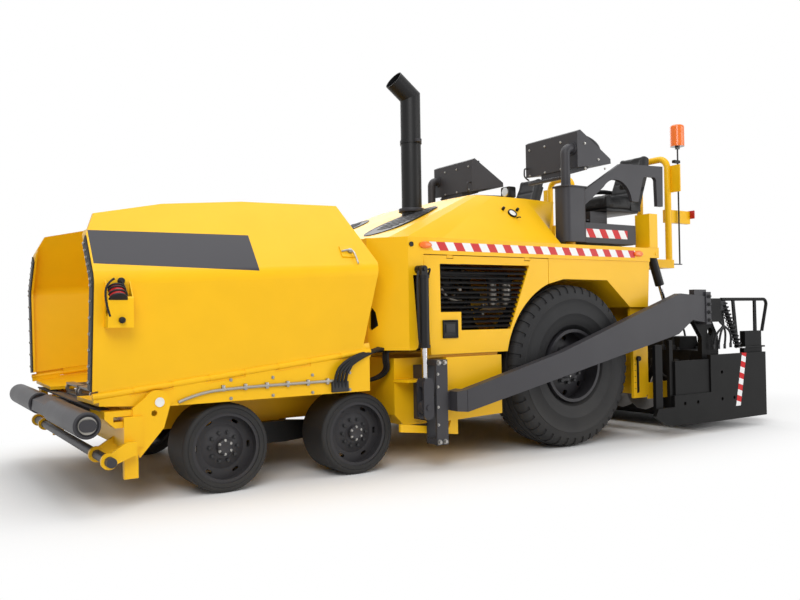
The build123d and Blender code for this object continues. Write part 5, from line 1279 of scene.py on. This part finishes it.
def seatFrame(spec):
    lowX, lowY, lowZ = spec["cushionLow"]
    highX, highY, _ = spec["cushionHigh"]
    pan = addBlock("seatPan", (lowX, lowY + 0.01, lowZ - spec["panDrop"]),
                   (highX - 0.01, highY - 0.01, lowZ + 0.006), edge=0.008)
    sink(pan, lambda c, n: n.x > 0.9, inset=0.006, move=(-0.010, 0, 0))
    shell = addBlock("seatShell", spec["shellLow"], spec["shellHigh"], edge=0.010)
    sink(shell, lambda c, n: n.x < -0.9, inset=0.03, move=(0.008, 0, 0))
    shell.data.transform(Matrix.Translation(spec["backFoot"]) @ Matrix.Rotation(spec["lean"], 4, "Y"))
    parts = [pan, shell]
    for side in (lowY + 0.004, highY - 0.026):
        low, high = shifted((lowX, side, lowZ), (spec["sideLow"], spec["sideHigh"]))
        parts.append(addBlock("seatSide", low, high, edge=0.006))
    frameLeft, frameRight = dressPair(joinAll("seat_shell_l", parts), blackPaint, "station_l")
    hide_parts("station_seat_l")
    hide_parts("station_seat_r")
    rests = [addHose("armRest", shifted((lowX, side, lowZ), spec["armRest"]), spec["restRadius"], sides=5)
             for side in (lowY + 0.026, highY - 0.026)]
    rests = joinAll("seat_arm_rests_l", rests)
    restLeft, restRight = dressPair(rests, seatVinyl, "station_l", angle=50)
    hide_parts("station_seat_l")
    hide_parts("station_seat_r")


wheelRim = {
    "centre": (ahead(-0.515), 0.920, 2.865), "normal": (-0.62, 0, 1), "radius": 0.1835, "grip": 0.0145,
    "ridges": 60, "ridgeDepth": 0.002, "boss": 0.034, "bossFoot": -0.004, "bossHeight": 0.022,
    "spokes": 3, "spokeRadius": 0.009,
}


def steeringGrip(spec):
    turn = facing(spec["centre"], spec["normal"])
    letGo()
    bpy.ops.mesh.primitive_torus_add(major_radius=spec["radius"], minor_radius=spec["grip"],
                                     major_segments=spec["ridges"], minor_segments=12)
    rim = nameIt("steering_grip_l")
    step = math.radians(360 / spec["ridges"])
    # finger ridges: every second segment of the under side pressed in
    openFaces(rim, lambda c, n: n.z < -0.5 and int((math.atan2(c.y, c.x) + math.pi) / step) % 2 == 0)
    bpy.ops.mesh.inset(thickness=0.001)
    bpy.ops.transform.shrink_fatten(value=-spec["ridgeDepth"])
    closeEdit()
    parts = [rim, addDrum("wheelBoss", (0, 0, spec["bossFoot"]), spec["boss"], spec["bossHeight"], edge=0.006,
                          dishes=((0.010, 0.004), (0.008, -0.003)))]
    for k in range(spec["spokes"]):
        angle = 2 * math.pi * k / spec["spokes"] + math.pi / 2
        x, y = spec["radius"] * math.cos(angle), spec["radius"] * math.sin(angle)
        parts.append(addHose("wheelSpoke", [(0, 0, 0.004), (x * 0.5, y * 0.5, 0.006), (x, y, 0.002)],
                             spec["spokeRadius"]))
    for piece in parts:
        piece.data.transform(turn)
    dressPair(joinAll("steering_grip_l", parts), hoseRubber, "station_l", angle=40)


consoleSpec = {
    "front": ahead(-0.222), "screwSides": (0.50, 0.72, 0.94), "screwHeights": (2.62, 2.88),
    "side": 1.160, "sideScrews": ((ahead(-0.32), 2.84), (ahead(-0.32), 2.60), (ahead(-0.50), 2.70),
                                  (ahead(-0.59), 2.62)),
    "handle": [(-0.01, 0.47, 2.70), (0.045, 0.47, 2.70), (0.052, 0.47, 2.66), (0.050, 0.47, 2.60),
               (-0.01, 0.47, 2.58)],
    "handleRadius": 0.008, "stepLow": (-0.02, 0.50, 2.520), "stepHigh": (0.035, 1.00, 2.545),
    "stationLever": [(ahead(-0.92), 0.62, 2.22), (ahead(-0.80), 0.66, 2.19), (ahead(-0.66), 0.70, 2.165),
                     (ahead(-0.60), 0.72, 2.150)],
    "leverRadius": 0.013, "plateLow": (ahead(-0.80), 0.68, 2.135), "plateHigh": (ahead(-0.58), 0.92, 2.155),
    "joysticks": ((0.56, 0.02), (0.62, -0.01), (0.68, 0.015)), "joystick": (ahead(-0.43), 2.86),
    "stickRadius": 0.006, "knobFoot": 2.935, "knobRadius": 0.014, "knobHeight": 0.034,
}


def consoleDetails(spec):
    start = (spec["front"], 0, 0)
    spots = [((spec["front"], y, z), (1, 0, 0)) for y in spec["screwSides"] for z in spec["screwHeights"]]
    spots += [((x, spec["side"], z), (0, 1, 0)) for x, z in spec["sideScrews"]]
    dressPair(scatter("console_screws_l", smallBolt, spots), zincBolt, "station_l")
    parts = [addHose("consoleHandle", shifted(start, spec["handle"]), spec["handleRadius"]),
             addBlock("consoleStep", *shifted(start, (spec["stepLow"], spec["stepHigh"])), edge=0.006),
             addHose("stationLever", spec["stationLever"], spec["leverRadius"]),
             addBlock("footPlate", spec["plateLow"], spec["plateHigh"], edge=0.006)]
    dressPair(joinAll("console_fittings_l", parts), greyPaint, "station_l")
    levers = []
    x, foot = spec["joystick"]
    for y, tilt in spec["joysticks"]:
        levers.append(addHose("joystick", [(x + 0.01, y, foot), (x + 0.005 + tilt, y, foot + 0.04),
                                           (x + tilt, y, foot + 0.085)], spec["stickRadius"]))
        levers.append(addDrum("joystickKnob", (x + tilt, y, spec["knobFoot"]), spec["knobRadius"],
                              spec["knobHeight"], sides=16, edge=0.005, dishes=((0.004, 0.003),)))
    dressPair(joinAll("console_levers_l", levers), hoseRubber, "station_l")


seatPads(seatSpec)
seatFrame(seatSpec)
steeringGrip(wheelRim)
consoleDetails(consoleSpec)
print("stations ready")

# ---- rear: tail lamps, beacon cable, height lever
rearSpec = {
    "lamp": (ahead(-2.249), 0.88, 2.292), "lampLow": (-0.012, -0.055, -0.045),
    "lampHigh": (0.002, 0.055, 0.045),
    "pole": (ahead(-2.030), 0.900, 0), "clampHeights": (2.66, 2.86), "clampLow": (-0.020, -0.020, -0.016),
    "clampHigh": (0.075, 0.020, 0.016),
    "cable": [(0.012, 0.012, 3.09), (0.013, 0.013, 2.60), (0.012, 0.014, 2.20), (0.013, 0.012, 1.78)],
    "cableRadius": 0.0045,
    "slot": (ahead(-0.92), 1.2305, 0), "slotLow": (-0.012, -0.001, 0.43), "slotHigh": (0.012, 0.003, 0.775),
    "knob": (0, 0, 0.765), "knobRadius": 0.026, "knobHeight": 0.030,
    "rodLow": (-0.007, 0.002, 0.44), "rodHigh": (0.007, 0.014, 0.76),
    "marks": (0.47, 0.53, 0.59, 0.65, 0.71), "markLow": (0.020, -0.001, 0),
    "markHigh": (0.045, 0.0015, 0.004),
}


def rearDetails(spec):
    low, high = shifted(spec["lamp"], (spec["lampLow"], spec["lampHigh"]))
    lens = addBlock("tail_lamp_l", low, high)
    sink(lens, lambda c, n: n.x < -0.9, inset=0.010, move=(-0.004, 0, 0))
    dressPair(lens, redPaint, "tractor")
    x, y, _ = spec["pole"]
    for level in spec["clampHeights"]:
        clamp = addBlock("pole_clamp_l", *shifted((x, y, level), (spec["clampLow"], spec["clampHigh"])))
        sink(clamp, lambda c, n: n.y > 0.9, inset=0.006, move=(0, -0.003, 0))
        dress(clamp, blackPaint, "tractor")
    cable = addHose("beacon_cable", shifted(spec["pole"], spec["cable"]), spec["cableRadius"])
    dress(cable, hoseRubber, "tractor")
    slotLow, slotHigh, rodLow, rodHigh, knob = shifted(
        spec["slot"], [spec[key] for key in ("slotLow", "slotHigh", "rodLow", "rodHigh", "knob")])
    parts = [addBlock("leverSlot", slotLow, slotHigh, edge=0.001),
             addDrum("leverKnob", knob, spec["knobRadius"], spec["knobHeight"], "Y", sides=24, edge=0.006,
                     dishes=((0.008, -0.005),)),
             addBlock("leverRod", rodLow, rodHigh, edge=0.003)]
    dressPair(joinAll("height_lever_l", parts), blackPaint, "tractor")
    x, y, _ = spec["slot"]
    marks = [addBlock("scaleMark", *shifted((x, y, level), (spec["markLow"], spec["markHigh"])), edge=0.0005)
             for level in spec["marks"]]
    dressPair(joinAll("height_marks_l", marks), blackPaint, "tractor")


rearDetails(rearSpec)
print("rear ready")

# ---- screed: coil springs, valve blocks, hoses, bolts
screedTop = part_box("screed_frame")[0][2] + 0.710
coilSpec = {"top": (ahead(-1.973), 1.465, 1.302), "foot": (ahead(-2.212), 1.465, 0.849), "radius": 0.036,
            "wire": 0.0065, "turns": 12, "steps": 12}


def strutSpring(spec):
    top, foot = Vector(spec["top"]), Vector(spec["foot"])
    axis = (foot - top).normalized()
    side = axis.cross(Vector((0, 1, 0))).normalized()
    points = []
    for k in range(spec["turns"] * spec["steps"] + 1):
        turn = 2 * math.pi * k / spec["steps"]
        spot = top.lerp(foot, k / (spec["turns"] * spec["steps"]))
        points.append(spot + (side * math.cos(turn) + Vector((0, 1, 0)) * math.sin(turn)) * spec["radius"])
    spring = addHose("strut_spring_l", points, spec["wire"], sides=1)
    dressPair(spring, castIron, "extension_l", angle=60)


screedHoseSpec = {
    "block": ((ahead(-1.96), 0.60), (ahead(-1.74), 0.80)), "height": 0.105, "rim": 0.020, "rise": 0.012,
    "ends": [(ahead(-1.66), 0.42), (ahead(-1.66), 0.95), (ahead(-1.66), 1.08), (ahead(-2.04), 1.12),
             (ahead(-2.10), 0.90), (ahead(-2.06), 0.40)],
    "firstCap": 0.030, "capPitch": 0.032, "capSide": 0.05, "capRadius": 0.014, "capHeight": 0.040,
    "endRadius": 0.020, "endHeight": 0.050, "hoseRise": 0.16, "riseStep": 0.02, "radius": 0.011,
    "frontStarts": [(ahead(-1.626), side) for side in (0.30, 0.60, 0.90)], "frontReach": 0.24,
    "frontRadius": 0.010,
    "frontHose": [(0, 0, -0.11), (0.020, 0.03, -0.20), (0.022, 0.12, -0.30), (0.016, 0.20, -0.24),
                  (0, 0.24, -0.14)],
    "footLow": (-0.02, -0.022, -0.145), "footHigh": (0.012, 0.022, -0.095),
    "boltRows": (ahead(-1.685), ahead(-1.99)), "bolts": 7, "boltPitch": 0.16,
}


def screedHoses(spec):
    # valve block with hoses that arch down to the frame, short hoses on its front face, bolts along its edges
    (lowX, lowY), (highX, highY) = spec["block"]
    top = screedTop + spec["height"]
    block = addBlock("valveBlock", (lowX, lowY, screedTop - seated), (highX, highY, top), edge=0.008)
    sink(block, lambda c, n: n.z > 0.9, spec["rim"], (0, 0, spec["rise"]))
    parts, hoses = [block], []
    for k, (endX, endY) in enumerate(spec["ends"]):
        x = lowX + spec["firstCap"] + spec["capPitch"] * k
        y = (lowY + highY) / 2 + (spec["capSide"] if k % 2 else -spec["capSide"])
        parts.append(addDrum("valveCap", (x, y, top), spec["capRadius"], spec["capHeight"], sides=12,
                             dishes=((0.004, 0.004),)))
        parts.append(addDrum("hoseEnd", (endX, endY, screedTop - 0.002), spec["endRadius"], spec["endHeight"],
                             sides=12, dishes=((0.005, 0.004),)))
        rise = top + spec["hoseRise"] + spec["riseStep"] * (k % 3)
        hoses.append(addHose("screedHose", [
            (x, y, top + 0.03), (x, y, rise), ((x + endX) / 2, (y + endY) / 2, rise + 0.06),
            (endX, endY, rise - 0.02), (endX, endY, screedTop + 0.04)], spec["radius"]))
    for x, y in spec["frontStarts"]:
        hoses.append(addHose("frontHose", shifted((x, y, screedTop), spec["frontHose"]), spec["frontRadius"]))
        for end in (y, y + spec["frontReach"]):
            low, high = shifted((x, end, screedTop), (spec["footLow"], spec["footHigh"]))
            parts.append(addBlock("hoseFoot", low, high))
    dressPair(joinAll("screed_valves_l", parts), castIron, "screed")
    dressPair(joinAll("screed_hoses_l", hoses), hoseRubber, "screed")
    spots = [((x, spec["boltPitch"] * (k + 1), screedTop - seated), (0, 0, 1))
             for x in spec["boltRows"] for k in range(spec["bolts"])]
    dressPair(scatter("screed_bolts_l", wheelBolt, spots), castIron, "screed")


extensionSpec = {
    "block": ((ahead(-2.02), 1.395, 1.215), (ahead(-1.90), 1.462, 1.325)), "rim": 0.014, "rise": 0.008,
    "ends": [(ahead(-2.10), 1.452, 0.860), (ahead(-2.00), 1.452, 0.850), (ahead(-1.90), 1.452, 0.850),
             (ahead(-1.82), 1.452, 0.850)],
    "side": 1.430, "firstNut": 0.018, "nutPitch": 0.028, "nutRadius": 0.012, "nutHeight": 0.026,
    "endRadius": 0.015, "endHeight": 0.045, "middleSide": 1.478, "radius": 0.011,
}


def extensionHoses(spec):
    # valve block under the guard rail, hoses down to the extension's side
    low, high = spec["block"]
    block = addBlock("extensionValve", low, high, edge=0.006)
    sink(block, lambda c, n: n.y > 0.9, spec["rim"], (0, spec["rise"], 0))
    parts, hoses = [block], []
    y, z = spec["side"], low[2]
    for k, (endX, endY, endZ) in enumerate(spec["ends"]):
        x = high[0] - spec["firstNut"] - spec["nutPitch"] * k
        parts.append(addDrum("valveNut", (x, y, z - 0.022), spec["nutRadius"], spec["nutHeight"], sides=6,
                             edge=0.002, dishes=((0.003, -0.003),)))
        parts.append(addDrum("hoseNut", (endX, endY, endZ - 0.02), spec["endRadius"], spec["endHeight"],
                             sides=6, edge=0.002, dishes=((0.004, 0.004),)))
        hoses.append(addHose("extensionHose", [
            (x, y, z - 0.010), (x, y + 0.012, z - 0.10),
            ((x + endX) / 2 + 0.05 - 0.03 * k, spec["middleSide"], (z + endZ) / 2 + 0.03),
            (endX, endY + 0.018, endZ + 0.13), (endX, endY, endZ + 0.015)], spec["radius"]))
    dressPair(joinAll("extension_valve_l", parts), castIron, "extension_l")
    dressPair(joinAll("extension_hoses_l", hoses), hoseRubber, "extension_l")


strutSpring(coilSpec)
screedHoses(screedHoseSpec)
extensionHoses(extensionSpec)
print("screed ready")

# ---- deck: checker plate
treadSpec = {"rearX": ahead(-0.80), "frontX": ahead(-0.32), "half": 0.42, "pitch": 0.085,
             "bar": (0.030, 0.007, 0.0025), "narrow": 0.6, "turn": 45}


def deckTread(spec):
    # raised lozenges of the checker plate between the stations, one modelled and copied
    letGo()
    bpy.ops.mesh.primitive_cylinder_add(vertices=8, radius=1, depth=1, location=(0, 0, 0.5))
    lozenge = nameIt("treadLozenge")
    openFaces(lozenge, lambda c, n: n.z > 0.9)
    bpy.ops.transform.resize(value=(spec["narrow"], spec["narrow"], 1), center_override=(0, 0, 1))
    closeEdit()
    lozenge.data.transform(Matrix.Diagonal((*spec["bar"], 1)))
    copies = []
    rows = int((spec["frontX"] - spec["rearX"]) / spec["pitch"])
    lanes = int(spec["half"] / spec["pitch"])
    for row in range(rows):
        for lane in range(lanes):
            copy = copyOf(lozenge, "tread")
            turn = Matrix.Rotation(math.radians(spec["turn"] if (row + lane) % 2 else -spec["turn"]), 4, "Z")
            place = Matrix.Translation((spec["rearX"] + (row + 0.5) * spec["pitch"],
                                        (lane + 0.5) * spec["pitch"], deckTop - 0.0005))
            copy.data.transform(place @ turn)
            copies.append(copy)
    bpy.data.objects.remove(lozenge)
    dressPair(joinAll("deck_tread_l", copies), yellowPaint, "tractor")


deckTread(treadSpec)
print("deck ready")

for pattern in patterns:
    bpy.data.objects.remove(pattern)

# ---- floor, world and lamps
# the floor turns white between nearEdge and farEdge, as shares of the machine's half length and half width
studio = {
    "floor": 80.0, "floorColour": (0.88, 0.88, 0.88), "nearEdge": 0.95, "farEdge": 1.90, "white": 1.0,
    "worldStrength": 0.36, "aim": (0, 0, 1.2),
}
letGo()
bpy.ops.mesh.primitive_plane_add(size=studio["floor"], location=(0, 0, 0))
floor = bpy.context.object
floor.name = "studioFloor"


def seenRays(tree):
    # 1 for the camera, and for what glass and metal show
    rays = tree.nodes.new("ShaderNodeLightPath")
    seen = addMath(tree, "MAXIMUM", rays.outputs["Is Camera Ray"], rays.outputs["Is Glossy Ray"])
    return addMath(tree, "MAXIMUM", seen, rays.outputs["Is Transmission Ray"])


def mixShaders(tree, share, first, second, output):
    mix = addNode(tree, "ShaderNodeMixShader")
    tree.links.new(share, mix.inputs[0])
    tree.links.new(first.outputs[0], mix.inputs[1])
    tree.links.new(second.outputs[0], mix.inputs[2])
    tree.links.new(mix.outputs[0], tree.nodes[output].inputs["Surface"])


floorMaterial = bpy.data.materials.new("floorMaterial")
floorMaterial.use_nodes = True
floorTree = floorMaterial.node_tree
floorTree.nodes.remove(floorTree.nodes["Principled BSDF"])
plain = addNode(floorTree, "ShaderNodeBsdfDiffuse")
plain.inputs["Color"].default_value = (*studio["floorColour"], 1)
whiteFloor = addNode(floorTree, "ShaderNodeEmission")
whiteFloor.inputs["Strength"].default_value = studio["white"]
floorPlace = addNode(floorTree, "ShaderNodeTexCoord")
floorScale = addNode(floorTree, "ShaderNodeVectorMath", operation="MULTIPLY")
floorScale.inputs[1].default_value = (1 / cadHigh[0], 1 / cadHigh[1], 0)
floorTree.links.new(floorPlace.outputs["Object"], floorScale.inputs[0])
floorAway = addNode(floorTree, "ShaderNodeVectorMath", operation="LENGTH")
floorTree.links.new(floorScale.outputs[0], floorAway.inputs[0])
# the floor's own shading under the machine, plain white to the camera further out
near = addNode(floorTree, "ShaderNodeMapRange", interpolation_type="SMOOTHSTEP")
near.inputs["From Min"].default_value = studio["nearEdge"]
near.inputs["From Max"].default_value = studio["farEdge"]
floorTree.links.new(floorAway.outputs["Value"], near.inputs["Value"])
farWhite = addMath(floorTree, "MULTIPLY", near.outputs[0], seenRays(floorTree))
mixShaders(floorTree, farWhite, plain, whiteFloor, "Material Output")
floor.data.materials.append(floorMaterial)

world = bpy.data.worlds.new("studioWorld")
bpy.context.scene.world = world
world.use_nodes = True
worldTree = world.node_tree
worldLight = worldTree.nodes["Background"]
backdrop = addNode(worldTree, "ShaderNodeBackground")
for light, strength in ((worldLight, studio["worldStrength"]), (backdrop, studio["white"])):
    light.inputs["Color"].default_value = (1, 1, 1, 1)
    light.inputs["Strength"].default_value = strength
mixShaders(worldTree, seenRays(worldTree), worldLight, backdrop, "World Output")

lamps = [
    {"name": "keyLamp", "place": (5.5, 7.5, 6.5), "size": 5.0, "power": 450},
    {"name": "topLamp", "place": (0.0, 0.0, 9.5), "size": 9.0, "power": 540},
    {"name": "fillLamp", "place": (-6.5, 7.5, 3.0), "size": 5.0, "power": 240},
    {"name": "backLamp", "place": (-3.0, -8.5, 6.0), "size": 6.0, "power": 220},
]
for lamp in lamps:
    data = bpy.data.lights.new(lamp["name"], "AREA")
    data.size = lamp["size"]
    data.energy = lamp["power"]
    light = bpy.data.objects.new(lamp["name"], data)
    light.location = lamp["place"]
    aim = Vector(studio["aim"]) - Vector(lamp["place"])
    light.rotation_euler = aim.to_track_quat("-Z", "Y").to_euler()
    bpy.context.scene.collection.objects.link(light)
bpy.context.scene.view_settings.view_transform = "Standard"
print("studio ready")
